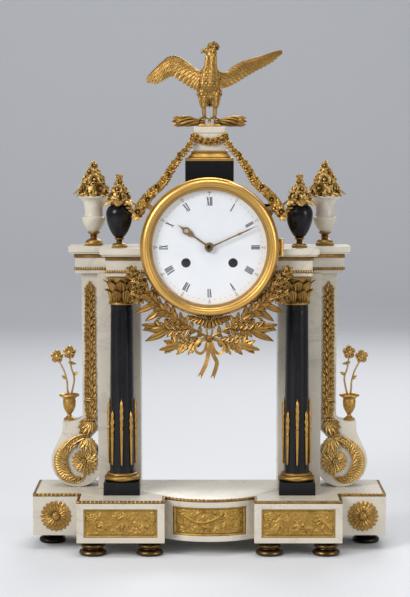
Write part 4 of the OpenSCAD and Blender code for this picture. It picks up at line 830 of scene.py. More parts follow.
# %% Ridges of the figures, each from (x, z, radius) to (x, z, radius) and its height
STANDING = [((0.00, 0.91, 0.075), (0.01, 0.90, 0.07), 1.0), ((0.0, 0.80, 0.10), (0.02, 0.55, 0.10), 1.0),
            ((0.0, 0.54, 0.085), (-0.10, 0.28, 0.06), 0.9),
            ((-0.10, 0.28, 0.055), (-0.08, 0.03, 0.035), 0.8),
            ((0.04, 0.54, 0.085), (0.12, 0.30, 0.06), 0.9), ((0.12, 0.30, 0.05), (0.22, 0.05, 0.035), 0.8),
            ((-0.08, 0.78, 0.05), (-0.26, 0.66, 0.04), 0.9),
            ((-0.26, 0.66, 0.04), (-0.38, 0.82, 0.03), 0.8), ((0.09, 0.78, 0.05), (0.22, 0.62, 0.04), 0.8),
            ((0.22, 0.62, 0.04), (0.36, 0.66, 0.03), 0.8), ((0.06, 0.66, 0.06), (0.34, 0.34, 0.03), 0.5),
            ((0.06, 0.60, 0.05), (0.30, 0.22, 0.03), 0.45)]
SEATED = [((0.00, 0.66, 0.075), (0.01, 0.65, 0.07), 1.0), ((0.0, 0.54, 0.10), (0.05, 0.28, 0.11), 1.0),
          ((0.05, 0.24, 0.085), (-0.24, 0.24, 0.06), 0.9),
          ((-0.24, 0.24, 0.055), (-0.28, 0.03, 0.035), 0.8), ((0.07, 0.20, 0.08), (-0.14, 0.13, 0.06), 0.8),
          ((-0.14, 0.13, 0.05), (-0.36, 0.05, 0.035), 0.8), ((-0.07, 0.52, 0.05), (-0.24, 0.42, 0.04), 0.9),
          ((-0.24, 0.42, 0.04), (-0.36, 0.54, 0.03), 0.8), ((0.09, 0.50, 0.05), (0.22, 0.30, 0.04), 0.8),
          ((0.05, 0.12, 0.12), (0.20, 0.06, 0.10), 0.5)]
GOAT = [((-0.30, 0.52, 0.13), (0.26, 0.50, 0.14), 1.0), ((-0.34, 0.56, 0.10), (-0.50, 0.78, 0.06), 0.9),
        ((-0.50, 0.80, 0.075), (-0.66, 0.70, 0.04), 1.0), ((-0.50, 0.86, 0.03), (-0.38, 1.02, 0.02), 0.7),
        ((-0.46, 0.86, 0.03), (-0.32, 0.94, 0.02), 0.6), ((-0.28, 0.46, 0.06), (-0.36, 0.04, 0.035), 0.8),
        ((-0.18, 0.46, 0.06), (-0.14, 0.04, 0.035), 0.7), ((0.22, 0.46, 0.08), (0.16, 0.04, 0.035), 0.8),
        ((0.30, 0.46, 0.08), (0.36, 0.04, 0.035), 0.7), ((0.38, 0.58, 0.04), (0.50, 0.66, 0.03), 0.7)]
TREE = [((0.00, 0.00, 0.06), (0.04, 0.55, 0.045), 0.7), ((0.04, 0.50, 0.04), (-0.14, 0.74, 0.03), 0.6),
        ((0.04, 0.52, 0.04), (0.20, 0.76, 0.03), 0.6)]
golden_turn = 2.4
crown_lumps, bush_lumps = 14, 7
for i in range(crown_lumps):
    spread = math.sqrt(i / (crown_lumps - 1))
    x, z = spread * math.cos(golden_turn * i), spread * math.sin(golden_turn * i)
    TREE.append(((0.30 * x + 0.02, 0.80 + 0.17 * z, 0.075), (0.32 * x + 0.05, 0.83 + 0.17 * z, 0.05), 0.75))
BUSH = []
for i in range(bush_lumps):
    x, z = math.cos(golden_turn * i), math.sin(golden_turn * i)
    BUSH.append(((0.16 * x, 0.16 + 0.13 * z, 0.10), (0.20 * x, 0.20 + 0.17 * z, 0.06), 0.6))
RUNNER = [((-0.30, 0.84, 0.08), (-0.29, 0.83, 0.075), 1.0), ((-0.18, 0.70, 0.10), (0.04, 0.50, 0.09), 1.0),
          ((0.04, 0.48, 0.08), (-0.10, 0.27, 0.055), 0.9), ((-0.10, 0.27, 0.05), (0.06, 0.03, 0.035), 0.8),
          ((0.08, 0.46, 0.075), (0.27, 0.27, 0.05), 0.7), ((0.27, 0.27, 0.045), (0.40, 0.12, 0.03), 0.7),
          ((-0.20, 0.72, 0.045), (-0.42, 0.60, 0.04), 0.9), ((-0.42, 0.60, 0.04), (-0.58, 0.68, 0.03), 0.8),
          ((-0.14, 0.64, 0.045), (-0.30, 0.48, 0.035), 0.8),
          ((-0.30, 0.48, 0.03), (-0.46, 0.46, 0.025), 0.7)]


def festoon(points, radius, height):
    """Ridges of a hanging rope or cloth, smooth through a few points."""
    line = smooth_through(points, 3)
    return [((*a, radius), (*b, 0.8 * radius), height) for a, b in zip(line, line[1:])]


FESTOON = (festoon([(-1.17, 0.75), (-0.81, 0.55), (-0.45, 0.48), (0.08, 0.56), (0.63, 0.85)], 0.055, 1.0)
           + festoon([(-0.75, 0.75), (-0.35, 1.00), (0.32, 0.90), (0.60, 0.84)], 0.034, 0.8))
print("ridges of a tree:", len(TREE), "and of the festoon:", len(FESTOON))

# %% Raising a plaque
plaque_half_w, plaque_half_h, plaque_border = 41.0, 16.0, 2.4
plaque_z, plaque_sunk, relief_depth = 38.75, 2.2, 1.7
scene_foot, scene_size = -12.4, 24.0
undergrowth_count, ground_count = 150, 22


def ridges_of(cast):
    """All ridges of a scene: figures given as (ridges, x, size, flip), undergrowth and the ground."""
    ridges = []
    for figure, x, size, flip in cast:
        scale = scene_size * size
        for (ax, az, ar), (bx, bz, br), height in figure:
            ridges.append((Vector((x + flip * ax * scale, scene_foot + az * scale)), ar * scale,
                           Vector((x + flip * bx * scale, scene_foot + bz * scale)), br * scale, height))
    for i in range(undergrowth_count):
        at = Vector((random.uniform(-38, 38), random.uniform(scene_foot, -scene_foot)))
        tip = at + 2.8 * Vector((math.cos(golden_turn * i), math.sin(golden_turn * i)))
        ridges.append((at, random.uniform(1.0, 2.0), tip, 0.8, random.uniform(0.18, 0.50)))
    for i in range(ground_count):
        at = Vector((-36 + i * 3.4, scene_foot - 0.3))
        ridges.append((at, 1.3, at + Vector((2.6, random.uniform(-0.6, 0.6))), 1.0, 0.4))
    return ridges


def relief_height(at, ridges):
    """Height of the modelling at a point: the tallest ridge that covers it, over a rolling ground."""
    best = 0.10 * math.sin(0.45 * at.x + 0.8 * math.sin(0.5 * at.y)) * math.cos(0.4 * at.y)
    for a, ra, b, rb, height in ridges:
        along = b - a
        share = min(1.0, max(0.0, (at - a).dot(along) / max(along.length_squared, 1e-6)))
        radius = ra + (rb - ra) * share
        near = (at - a - along * share).length / radius
        if near < 1:
            best = max(best, height * math.sqrt(1 - near * near))
    return best


def plaque(name, x, cast, bowed=False):
    """A plaque with a raised border and a modelled field, bent to the bow in the middle of the base."""
    ridges = ridges_of(cast)

    def shape(u, s):
        at = Vector(((2 * u - 1) * plaque_half_w, s * plaque_half_h))
        edge = min(plaque_half_w - abs(at.x), plaque_half_h - abs(at.y))
        if edge < plaque_border:
            height = 1.5 * math.sin(math.pi * min(1.0, 0.25 + 0.75 * edge / plaque_border))
        else:
            height = relief_depth * relief_height(at, ridges) * min(1.0, (edge - plaque_border) / 0.8)
        depth = plaque_sunk - height
        if not bowed:
            return Vector((x + at.x, base_low.y + depth, plaque_z + at.y))
        turn = math.asin(at.x / bow_r)
        r = bow_r - depth
        return bow_middle + Vector((r * math.sin(turn), -r * math.cos(turn), plaque_z + at.y))

    bm = shaped_sheet(164, 64, shape, (0, 0.8, 0))
    finish_piece(name + "_relief", bm, "gilt_bronze", [name], relief_gilding, 60)


plaque("left_plaque", -column.x, [(TREE, -32, 0.95, 1), (SEATED, -20, 0.8, 1), (BUSH, -8, 0.6, 1),
                                  (STANDING, 4, 1.05, 1), (BUSH, 16, 0.8, 1), (SEATED, 25, 0.75, -1),
                                  (TREE, 35, 0.9, -1)])
plaque("centre_plaque", 0.0, [(FESTOON, 0, 1.0, 1), (SEATED, -28, 0.85, 1), (BUSH, -15, 0.7, 1),
                              (GOAT, -3, 0.55, 1), (BUSH, 9, 0.6, 1), (STANDING, 19, 0.98, 1),
                              (SEATED, 34, 0.8, -1), (TREE, 31, 0.95, 1)], True)
plaque("right_plaque", column.x, [(TREE, -34, 1.0, 1), (BUSH, -28, 0.7, 1), (STANDING, -20, 0.9, -1),
                                  (TREE, -9, 0.9, -1), (SEATED, -1, 0.8, 1), (GOAT, 12, 0.55, 1),
                                  (BUSH, 20, 0.5, 1), (RUNNER, 29, 1.0, 1)])

# %% [markdown]
# ## Columns: rings, spindles and capitals
# Each black shaft stands on a gilt torus ring. Slim gilt spindles, a reed below and a wrapped bud above,
# are pinned into the lower part of the flutes, and a palm capital of two rows of ribbed leaves ends the
# shaft. Rings and spindles are spun; the ribs of a bud come from moving its turned points in and out. A
# palm leaf is a bent sheet, which carries its ribs in a wave across it.

# %% Gilt rings under the shafts
ring_profile = ([(0, 0), (17.4, 0)]
                + smooth_through([(18.4, 0.3), (20.0, 1.9), (20.1, 4.4), (18.3, 6.2)], 5)
                + [(17.3, 6.3), (17.3, 6.9)] + smooth_through([(17.2, 7.0), (17.8, 7.8), (17.2, 8.8)], 4)
                + [(15.6, 9.2), (15.6, 9.5), (0, 9.5)])
ring = turned_form("ring", ring_profile, 64)
ring_h = 9.5
rings = bmesh.new()
stamp(rings, ring, Matrix.Translation((column.x, column.y, shaft_low.z - ring_h)))
add_mirrored(rings)
finish_piece("rings", rings, "gilt_bronze", ["column_rings"], dull_gilding)

# %% Spindles in the flutes
flute_out, flute_start, flute_count = 0.9, 9.0, 8
shaft_foot_r, shaft_top_r = 14.4, 12.5
shaft_lean = math.atan((shaft_foot_r - shaft_top_r) / (shaft_high.z - shaft_low.z))


def spindle(length):
    """A spindle: a plain reed, a collar, then a bud wrapped by three slanting ribs."""
    reed_end, bud_end = 0.52 * length, 0.92 * length
    profile = ([(0, 0), (0.6, 0.2)] + smooth_through([(1.0, 1.0), (1.5, 0.3 * length), (1.95, reed_end)], 4)
               + [(1.4, reed_end + 0.6), (2.1, reed_end + 1.6), (1.5, reed_end + 2.6)]
               + [(1.6 + 0.45 * math.sin(math.pi * i / 14),
                   reed_end + 3 + (bud_end - reed_end - 3) * i / 14) for i in range(15)]
               + [(0.8, bud_end + 2), (0, length)])
    form = turned_form("spindle", profile, 15)
    for v in form.vertices:
        if reed_end + 2.8 < v.co.z < bud_end + 1:
            a = math.atan2(v.co.y, v.co.x)
            rib = 1 + 0.16 * math.cos(3 * a + 0.75 * v.co.z)
            v.co.x *= rib
            v.co.y *= rib
    return form


spindle_forms = [spindle(77.0), spindle(63.0)]
spindle_r = shaft_foot_r + flute_out - flute_start * math.tan(shaft_lean)
spindles = bmesh.new()
for i in range(flute_count):
    stand = (Matrix.Translation((column.x, column.y, shaft_low.z))
             @ Matrix.Rotation(math.radians(360 * i / flute_count - 90), 4, "Z")
             @ Matrix.Translation((spindle_r, 0, flute_start))
             @ Matrix.Rotation(-shaft_lean, 4, "Y"))
    stamp(spindles, spindle_forms[i % 2], stand)
add_mirrored(spindles)
finish_piece("spindles", spindles, "gilt_bronze", ["column_spindles"])


# %% Palm capitals
def around(degrees, tilt=0.0):
    """A direction at an angle about the upright axis, raised by a tilt."""
    flat = math.cos(math.radians(tilt))
    a = math.radians(degrees)
    return Vector((flat * math.cos(a), flat * math.sin(a), math.sin(math.radians(tilt))))


def finish_sides(name, bm, slot, node_end, finish=None, smooth=40):
    """Finishes a right-hand piece and its mirror image on the left."""
    left = bm.copy()
    left.transform(Matrix.Scale(-1, 4, (1, 0, 0)))
    finish_piece("right_" + name, bm, slot, ["right_" + node_end], finish, smooth)
    finish_piece("left_" + name, left, slot, ["left_" + node_end], finish, smooth)


abacus_w, abacus_h = 34.0, 3.0
bell_r = shaft_top_r


def palm_shape(height, width, flare):
    """A ribbed palm leaf that rises along the bell of the capital and turns over at its tip."""
    def shape(u, s):
        half = width / 2 * (0.62 + 0.5 * math.sin(math.pi * u ** 1.3) - 0.58 * u ** 6)
        out = bell_r + 0.4 + flare * u ** 3 + 0.55 * math.cos(4 * math.pi * s) * (1 - u ** 4) - 1.6 * s * s
        rise = 3 + height * (u - 0.10 * u ** 8) - 2.5 * abs(s) * u ** 5
        return Vector((out, s * half, rise))
    return shape


tall_palm = keep_form("tall_palm", shaped_sheet(12, 8, palm_shape(28.0, 12.5, 8.0), (-0.9, 0, 0)))
short_palm = keep_form("short_palm", shaped_sheet(10, 8, palm_shape(16.5, 10.0, 6.0), (-0.9, 0, 0)))
capital_profile = ([(0, 0), (13.4, 0)] + smooth_through([(14.2, 0.5), (14.5, 1.4), (13.9, 2.5)], 3)
                   + smooth_through([(12.4, 3.4), (12.6, 14), (13.6, 22), (16.4, 29.4)], 4)
                   + [(16.4, 30), (0, 30)])
capital_bell = turned_form("capital_bell", capital_profile, 40)
capital = bmesh.new()
capital_foot = Matrix.Translation((column.x, column.y, shaft_high.z))
stamp(capital, capital_bell, capital_foot)
palm_count, collar_beads = 8, 16
for i in range(palm_count):
    stamp(capital, tall_palm, capital_foot @ Matrix.Rotation(math.tau * i / palm_count, 4, "Z"))
    stamp(capital, short_palm, capital_foot @ Matrix.Rotation(math.tau * (i + 0.5) / palm_count, 4, "Z")
          @ Matrix.Translation((1.2, 0, 0)))
for i in range(collar_beads):
    out = around(360 * i / collar_beads)
    pin(capital, bead, capital_foot @ (13.9 * out + 2.9 * UP), out, 1.1)
slab(capital, (column.x, column.y, portico_top - abacus_h / 2), (abacus_w, abacus_w, abacus_h), 0.7)
finish_sides("palm_capital", capital, "gilt_bronze", "capital", dull_gilding)

# %% [markdown]
# ## Foliage on the consoles
# A chain of laurel climbs the upright of each scrolled console. At the bend it opens into acanthus leaves,
# and a gadrooned ribbon, made of many small swellings side by side, runs round the scroll to a rosette. The
# ribbon is one bent sheet with a wave along it, which needs fewer faces than separate swellings. The
# right-hand mount is built first; its mirror image serves the left.

# %% Laurel chain on the upright
def rod(bm, points, thick, thin, steps=4):
    """A round twig through points that runs from one radius to another: a bevelled curve, made mesh."""
    line = smooth_through(points, steps)
    curve = bpy.data.curves.new("twig", "CURVE")
    curve.dimensions = "3D"
    curve.bevel_depth = 1.0
    curve.bevel_resolution = 1
    curve.use_fill_caps = True
    spline = curve.splines.new("POLY")
    spline.points.add(len(line) - 1)
    for i, at in enumerate(line):
        spline.points[i].co = (*at, 1)
        spline.points[i].radius = thick + (thin - thick) * i / (len(line) - 1)
    holder = bpy.data.objects.new("twig", curve)
    mesh = bpy.data.meshes.new_from_object(holder)
    bm.from_mesh(mesh)
    bpy.data.objects.remove(holder)
    bpy.data.curves.remove(curve)
    bpy.data.meshes.remove(mesh)


chain_x, chain_low, chain_high, chain_rows = 136.75, 148.0, 289.0, 31
chain_tie_z = 165.0
foliage = bmesh.new()
rod(foliage, [(chain_x, console_face - 1.0, chain_low),
              (chain_x, console_face - 1.0, chain_high + 6)], 2.4, 1.4)
for i in range(chain_rows):
    z = chain_low + (chain_high - chain_low) * i / (chain_rows - 1)
    wide = 1.0 - 0.18 * i / chain_rows
    for lean, lift, length in ((38, 0.9, 10.0), (-38, 0.9, 10.0), (14 * (-1) ** i, 2.2, 10.5)):
        at = Vector((chain_x - 0.02 * lean, console_face - lift, z + random.uniform(-0.5, 0.5)))
        along = heading(90 + lean + random.uniform(-6, 6))
        lay(foliage, laurel_leaf, at, along + 0.12 * FRONT, FRONT, (length * wide, 4.9 * wide, 1.5))
    if i % 2:
        side = 1 if i % 4 == 1 else -1
        pin(foliage, bead, (chain_x + side * 5.2 * wide, console_face - 1.5, z + 3.6), FRONT, 1.25)
for lean, length in ((0, 13.0), (24, 9.0), (-24, 9.0)):
    tip = Vector((chain_x, console_face - 1.5, chain_high + 1))
    lay(foliage, laurel_leaf, tip, heading(90 + lean), FRONT, (length, 5.4, 2.0))
for z in (chain_tie_z, chain_tie_z + 2.2):
    rod(foliage, [(chain_x - 6.6, console_face - 0.4, z), (chain_x, console_face - 4.4, z + 0.3),
                  (chain_x + 6.6, console_face - 0.4, z)], 1.0, 1.0)
print("laurel chain:", len(foliage.faces), "faces")

# %% Acanthus husk at the bend
bend = Vector((chain_x - 0.4, console_face - 1.2, 142.5))
for lean, length, width in ((-22, 12, 6.5), (-40, 16, 7.5), (-58, 19, 8), (-76, 20, 8), (-94, 17, 7.5),
                            (-114, 13, 6.5)):
    lay(foliage, laurel_leaf, bend + 0.6 * FRONT, heading(lean) + 0.12 * FRONT, FRONT, (length, width, 2.2))
    lay(foliage, laurel_leaf, bend, heading(lean + 9) + 0.06 * FRONT, FRONT, (length + 2, 5.5, 1.8))
for lean in (50, 75, 105, 130):
    lay(foliage, lobed_leaf, bend, heading(lean) + 0.2 * FRONT, FRONT, (9, 6, 2.0))
for x in (-5.5, -2.8, 0, 2.8, 5.5):
    pin(foliage, bead, bend + Vector((x, -2.6 + 0.12 * abs(x), 0.6)), FRONT, 1.6)
scroll_head = bend + Vector((5.0, 0.2, -21))
for lean, length, width in ((-58, 15, 8), (-82, 17, 9), (-104, 20, 9.5), (-122, 22, 9.5), (-142, 15, 7.5),
                            (10, 13, 7), (38, 9, 6)):
    lay(foliage, lobed_leaf, scroll_head, heading(lean) + 0.08 * FRONT, FRONT, (length, width, 2.2))
print("with the husk:", len(foliage.faces), "faces")

# %% Ribbed ribbon and rosette of the scroll
# The ribbon runs through points (angle, distance from the scroll's middle, width)
scroll = Vector((151.9, console_face, 94.5))
ribbon_run = smooth_through([(112, 34.0, 7.0), (96, 25.5, 8.5), (70, 22.2, 8.5), (43, 21.3, 9.5),
                             (15, 21.3, 10.5), (-7, 21.6, 10.5), (-29, 23.0, 9.5), (-51, 24.2, 7.5),
                             (-71, 24.4, 5.2), (-90, 23.4, 3.8), (-108, 20.4, 2.8), (-126, 15.6, 2.0)], 6)
rib_count = 34


def along_line(line, u):
    """A place on a line of points, u from 0 at its start to 1 at its end, and the direction there."""
    place = u * (len(line) - 1)
    i = min(int(place), len(line) - 2)
    return line[i].lerp(line[i + 1], place - i), line[i + 1] - line[i]


def ribbed_shape(u, s):
    """The ribbon's face: swollen across its width, with ribs that lean back towards its edges."""
    a, r, width = along_line(ribbon_run, u)[0]
    rib = 0.55 * math.cos(math.tau * rib_count * u + 2.6 * s * s)
    swell = (1 - s * s) ** 0.6
    return scroll + (r + 0.5 * width * s) * heading(a) + (0.6 + (0.17 * width + rib) * swell) * FRONT


join(foliage, shaped_sheet(204, 8, ribbed_shape, (0, 1.4, 0)))
for side in (-0.5, 0.5):
    edge = [scroll + (r + side * w) * heading(a) + 0.8 * FRONT for a, r, w in ribbon_run[::4]]
    rod(foliage, edge, 0.8, 0.5)
for a, r, width in ribbon_run[8:54:4]:
    inner_edge = scroll + (r - 0.28 * width) * heading(a) + 0.9 * FRONT
    inwards = 0.8 * heading(a - 90) - 0.8 * heading(a) + 0.12 * FRONT
    lay(foliage, lobed_leaf, inner_edge, inwards, FRONT, (0.45 * width + 5.5, 0.3 * width + 4.0, 2.6))
rosette = scroll + Vector((-7.0, -0.4, -0.2))
for count, length, width, lift, first in ((17, 12.6, 5.4, 0.4, 0), (15, 9.8, 4.8, 1.1, 11),
                                          (11, 6.8, 3.9, 1.8, 5)):
    for i in range(count):
        out = heading(first + 360 * i / count)
        grown = length * (1.2 if out.x < -0.2 else 1.0)
        root = rosette + 1.6 * out + lift * FRONT
        lay(foliage, feather, root, out + 0.10 * FRONT, FRONT, (grown, width, 1.2))
for i in range(8):
    at = rosette + (2.2 * heading(360 * i / 7) if i < 7 else Vector()) + 3.4 * FRONT
    pin(foliage, bead, at, FRONT, 1.4)
for strand in ([(143, 126), (153, 123.5), (163, 116.5), (170, 107)],
               [(144, 121), (153, 116.5), (160, 110.5)]):
    rod(foliage, [Vector((x, console_face - 2.6, z)) for x, z in strand], 1.3, 0.7)
finish_sides("foliage", foliage, "gilt_bronze", "console_foliage", matt_gilding)

# %% [markdown]
# ## Bands of the entablature
# Two gilt bands are let into the white marble: a string of beads below and a row of leaf tongues under the
# cornice. The plain strip of each band is the solid's own; the beads and tongues are stamped along its
# front.

# %% Beads and tongues
band_out = 1.0
low_band_z, high_band_z, high_band_h = 317.25, 330.0, 4.5
frieze_in, frieze_out = Vector((115.0, -33.0, 0)), Vector((153.0, 13.0, 0))
drum_seat = 72.6


def band_line(z):
    """The front line of a band on the right, from the drum round to the back."""
    start = math.sqrt(drum_seat ** 2 - (dial_z - z) ** 2)
    corners = [(start, frieze_in.y - band_out), (frieze_in.x + band_out, frieze_in.y - band_out),
               (frieze_in.x + band_out, frieze_out.y - band_out),
               (frieze_out.x + band_out, frieze_out.y - band_out), (frieze_out.x + band_out, 50.0)]
    return [Vector((x, y, z)) for x, y in corners]


bands = bmesh.new()
for at, along in evenly(band_line(low_band_z), 2.7):
    pin(bands, bead, at, UP, 1.25)
for at, along in evenly(band_line(high_band_z + high_band_h), 3.4):
    out = along.cross(DOWN).normalized()
    lay(bands, feather, at + 0.7 * out - 0.2 * UP, DOWN - 0.15 * out, out, (4.3, 3.2, 0.9))
add_mirrored(bands)
finish_piece("beads_and_tongues", bands, "gilt_bronze", ["entablature_bands"], hides=False)
# The strip behind the beads and tongues takes the darker gilding, which paints the shade in their gaps
dress("entablature_bands", "gilt_bronze", 0, aged_gilding_and_shade)

# %% [markdown]
# ## Urns, vases and their flowers
# The urns are turned stone: white ones with a flared lip, black ones shaped like an egg. Their gilt bunches
# are roses with leaves in the white urns, and vine leaves with grapes on the black ones. Flowers scattered
# at random would leave holes, so a core of lumps fills each bunch and every flower has its own place on it.
# Two thin daisies stand in each small vase.

# %% Turned urns and vases
white_at = Vector((132.5, 31.75, cornice_top + 15.5))
black_at = Vector((101.5, -5.0, cornice_top + 10.5))
white_seat, black_seat = 35.3, 36.5
white_profile = ([(0, 0), (5.5, 0)]
                 + smooth_through([(5.6, 0.3), (8.9, 4.1), (11.8, 9.0), (13.5, 14.6), (13.4, 16.8)], 4)
                 + [(11.4, 17.3)]
                 + smooth_through([(10.8, 18.2), (10.5, 24.6), (11.5, 32.0), (13.7, 36.1), (17.6, 39.0)], 4)
                 + [(18.5, 39.7), (18.5, 40.6), (18.1, 41.0)]
                 + smooth_through([(15.5, 40.8), (12.6, 37.8), (11.1, white_seat)], 3) + [(0, white_seat)])
black_profile = ([(0, 0), (4.2, 0)]
                 + smooth_through([(4.3, 0.3), (7.5, 3.6), (11.2, 10.2), (14.0, 18.2), (15.0, 26.3),
                                   (14.5, 30.7), (12.7, 34.3), (10.8, 36.3)], 4) + [(0, black_seat)])
for name, slot, profile, at in (("white_urns", "white_marble", white_profile, white_at),
                                ("black_urns", "black_marble", black_profile, black_at)):
    urns = bmesh.new()
    stamp(urns, turned_form("urn", profile, 56), Matrix.Translation(at))
    add_mirrored(urns)
    finish_piece(name + "_turned", urns, slot, [name], smooth=30)

# %% Gilt feet of the urns
urn_feet = bmesh.new()
for at, height, width, cup in ((white_at, 15.5, 20.0, 7.4), (black_at, 10.5, 17.0, 6.0)):
    floor_at = at - height * UP
    step_h = 0.22 * height
    slab(urn_feet, floor_at + step_h / 2 * UP, (width, width, step_h))
    knob = 0.24 * width
    low, waist = step_h - 0.2, 0.18 * width
    flare = [(0.47 * width, 0.26 * height), (0.40 * width, 0.38 * height), (0.20 * width, 0.52 * height),
             (0.17 * width, 0.58 * height)]
    bulb = [(waist, 0.60 * height), (knob, 0.66 * height), (waist, 0.73 * height)]
    cup_side = [(0.17 * width, 0.75 * height), (0.8 * cup, 0.86 * height), (cup, 0.96 * height)]
    profile = ([(0, low), (0.48 * width, low)] + smooth_through(flare, 3) + smooth_through(bulb, 3)
               + smooth_through(cup_side, 3) + [(cup, height), (0, height)])
    stamp(urn_feet, turned_form("urn_foot", profile, 36), Matrix.Translation(floor_at))
add_mirrored(urn_feet)
finish_piece("urn_feet_turned", urn_feet, "gilt_bronze", ["urn_feet"], dull_gilding)


# %% Filling a bunch
def fill_bunch(bm, foot, lumps, flowers, leaves):
    """A bunch on a foot: a core of lumps, flowers that look outwards, leaves along a tilted line."""
    for rise, radius, tall in lumps:
        ball(bm, foot + rise * UP, (radius, radius, tall))
    for form, angle, out, rise, tilt, size in flowers:
        at = foot + out * around(angle) + rise * UP
        pin(bm, form, at, around(angle, tilt), size, 0.7 * angle)
    for form, angle, out, rise, tilt, length, width in leaves:
        at = foot + out * around(angle) + rise * UP
        lay(bm, form, at, around(angle, tilt), around(angle, tilt + 90), (length, width, 0.22 * width))


# %% Rose bunches of the white urns
# Angles run about the urn: 0 is its outer side, 180 the side of the dial, 270 the front.
# A flower is (form, angle, distance out, height, tilt, radius).
# A leaf is (form, angle, distance out, height, tilt, length, width).
white_flowers = [(rose, 236, 11.0, 14, 10, 9.0), (blossom, 285, 12.0, 11, 8, 8.4),
                 (rose, 330, 12.0, 13, 10, 8.6), (rose, 22, 12.0, 14, 12, 8.6),
                 (rose, 75, 12.0, 13, 10, 8.8), (rose, 130, 12.0, 13, 10, 8.8),
                 (rose, 182, 12.5, 12, 6, 8.6), (blossom, 210, 9.0, 25, 20, 7.6),
                 (rose, 262, 8.5, 24, 16, 7.6), (blossom, 316, 9.0, 24, 20, 7.4),
                 (rose, 20, 8.5, 25, 20, 7.4), (rose, 80, 8.5, 25, 22, 7.6), (rose, 145, 8.5, 25, 22, 7.6),
                 (blossom, 240, 5.0, 34, 32, 6.2), (rose, 310, 5.2, 33, 30, 6.0),
                 (blossom, 60, 5.0, 34, 34, 6.0), (blossom, 160, 5.2, 34, 32, 6.2),
                 (rose, 250, 2.0, 39, 40, 5.2), (rose, 110, 2.0, 39, 44, 5.2),
                 (blossom, 220, 0.4, 44, 60, 4.2)]
white_leaves = [(lobed_leaf, 352, 8, 17, -36, 18, 12), (lobed_leaf, 312, 10, 11, -24, 12, 9),
                (lobed_leaf, 20, 8, 14, -40, 16, 11)]
white_leaves += [(feather, 36 * i + 14, 10, 8, -10, 9.5, 6.5) for i in range(10)]
white_leaves += [(feather, 60 * i + 25, 6, 19, 20, 9, 6) for i in range(6)]
white_leaves += [(feather, 90 * i + 10, 3, 30, 40, 7, 5) for i in range(4)]
roses_bm = bmesh.new()
white_lumps = [(4, 10.8, 6), (13, 13.6, 9), (25, 10, 9), (34, 6.4, 7)]
fill_bunch(roses_bm, white_at + white_seat * UP, white_lumps, white_flowers, white_leaves)
add_mirrored(roses_bm)
finish_piece("rose_bunches", roses_bm, "gilt_bronze", ["white_bouquets"], matt_gilding)

# %% Vine bunches of the black urns
black_flowers = [(rose, 250, 9.5, 9, 14, 6.6), (blossom, 300, 9.5, 8, 12, 6.4),
                 (rose, 350, 9.5, 9, 14, 6.4), (rose, 45, 9.5, 9, 14, 6.6), (rose, 100, 9.5, 9, 14, 6.6),
                 (rose, 150, 9.5, 9, 14, 6.4), (blossom, 225, 6.5, 19, 26, 5.8),
                 (rose, 285, 6.2, 18, 24, 5.8), (blossom, 345, 6.5, 19, 26, 5.6),
                 (rose, 60, 6.2, 18, 26, 5.8), (blossom, 140, 6.5, 19, 26, 5.8),
                 (rose, 255, 3.2, 26, 40, 4.6), (blossom, 340, 3.2, 26, 42, 4.4),
                 (rose, 90, 3.2, 26, 42, 4.6), (bud, 180, 0, 29, 88, 4.6)]
black_leaves = [(lobed_leaf, 52 * i + 12, 7.5, 8, -38, 14, 12) for i in range(7)]
black_leaves += [(feather, 60 * i + 30, 6, 14, 14, 8.5, 6) for i in range(6)]
black_leaves += [(feather, 90 * i + 15, 1.4, 27, 74, 8.5, 5) for i in range(4)]
vine_bm = bmesh.new()
vine_foot = black_at + black_seat * UP
black_lumps = [(1, 10.6, 4), (7, 11.0, 6), (15, 8.0, 7), (23, 5.0, 6)]
fill_bunch(vine_bm, vine_foot, black_lumps, black_flowers, black_leaves)
grape_count, grape_r = 40, 1.7
for i in range(grape_count):
    run = i / (grape_count - 1)
    thick = 5.0 * (1 - run) ** 0.6 + 0.8
    turn = golden_turn * i
    stalk = Vector((-7 - 9 * run, -8 + 2 * run, 9 - 16 * run))
    at = vine_foot + stalk + thick * Vector((0.5, math.cos(turn), math.sin(turn)))
    pin(vine_bm, bead, at, FRONT, grape_r)
add_mirrored(vine_bm)
finish_piece("vine_bunches", vine_bm, "gilt_bronze", ["black_bouquets"], matt_gilding)

# %% Small vases and daisies
vase_at = Vector((162.2, 35.0, 140.0))
vase_body = [(6.0, 1.9), (3.0, 4.4), (2.4, 6.4), (4.2, 9.6), (6.4, 15.0), (7.4, 20.4), (7.0, 24.4)]
vase_profile = ([(0, 0), (6.6, 0), (6.6, 1.4)] + smooth_through(vase_body, 4)
                + smooth_through([(7.2, 24.8), (8.6, 26.4), (11.4, 28.0), (11.6, 29.2), (10.9, 30.0)], 3)
                + smooth_through([(9.0, 29.4), (7.0, 27.4), (6.2, 25.5)], 3) + [(0, 25.5)])
vases = bmesh.new()
stamp(vases, turned_form("vase", vase_profile, 40), Matrix.Translation(vase_at))
vase_leaves = 12
for i in range(vase_leaves):
    out = around(360 * i / vase_leaves)
    lay(vases, feather, vase_at + 3.0 * out + 8.2 * UP, out * 0.42 + UP, out, (10.5, 3.4, 1.2))
add_mirrored(vases)
finish_piece("vases", vases, "gilt_bronze", ["side_vases"])

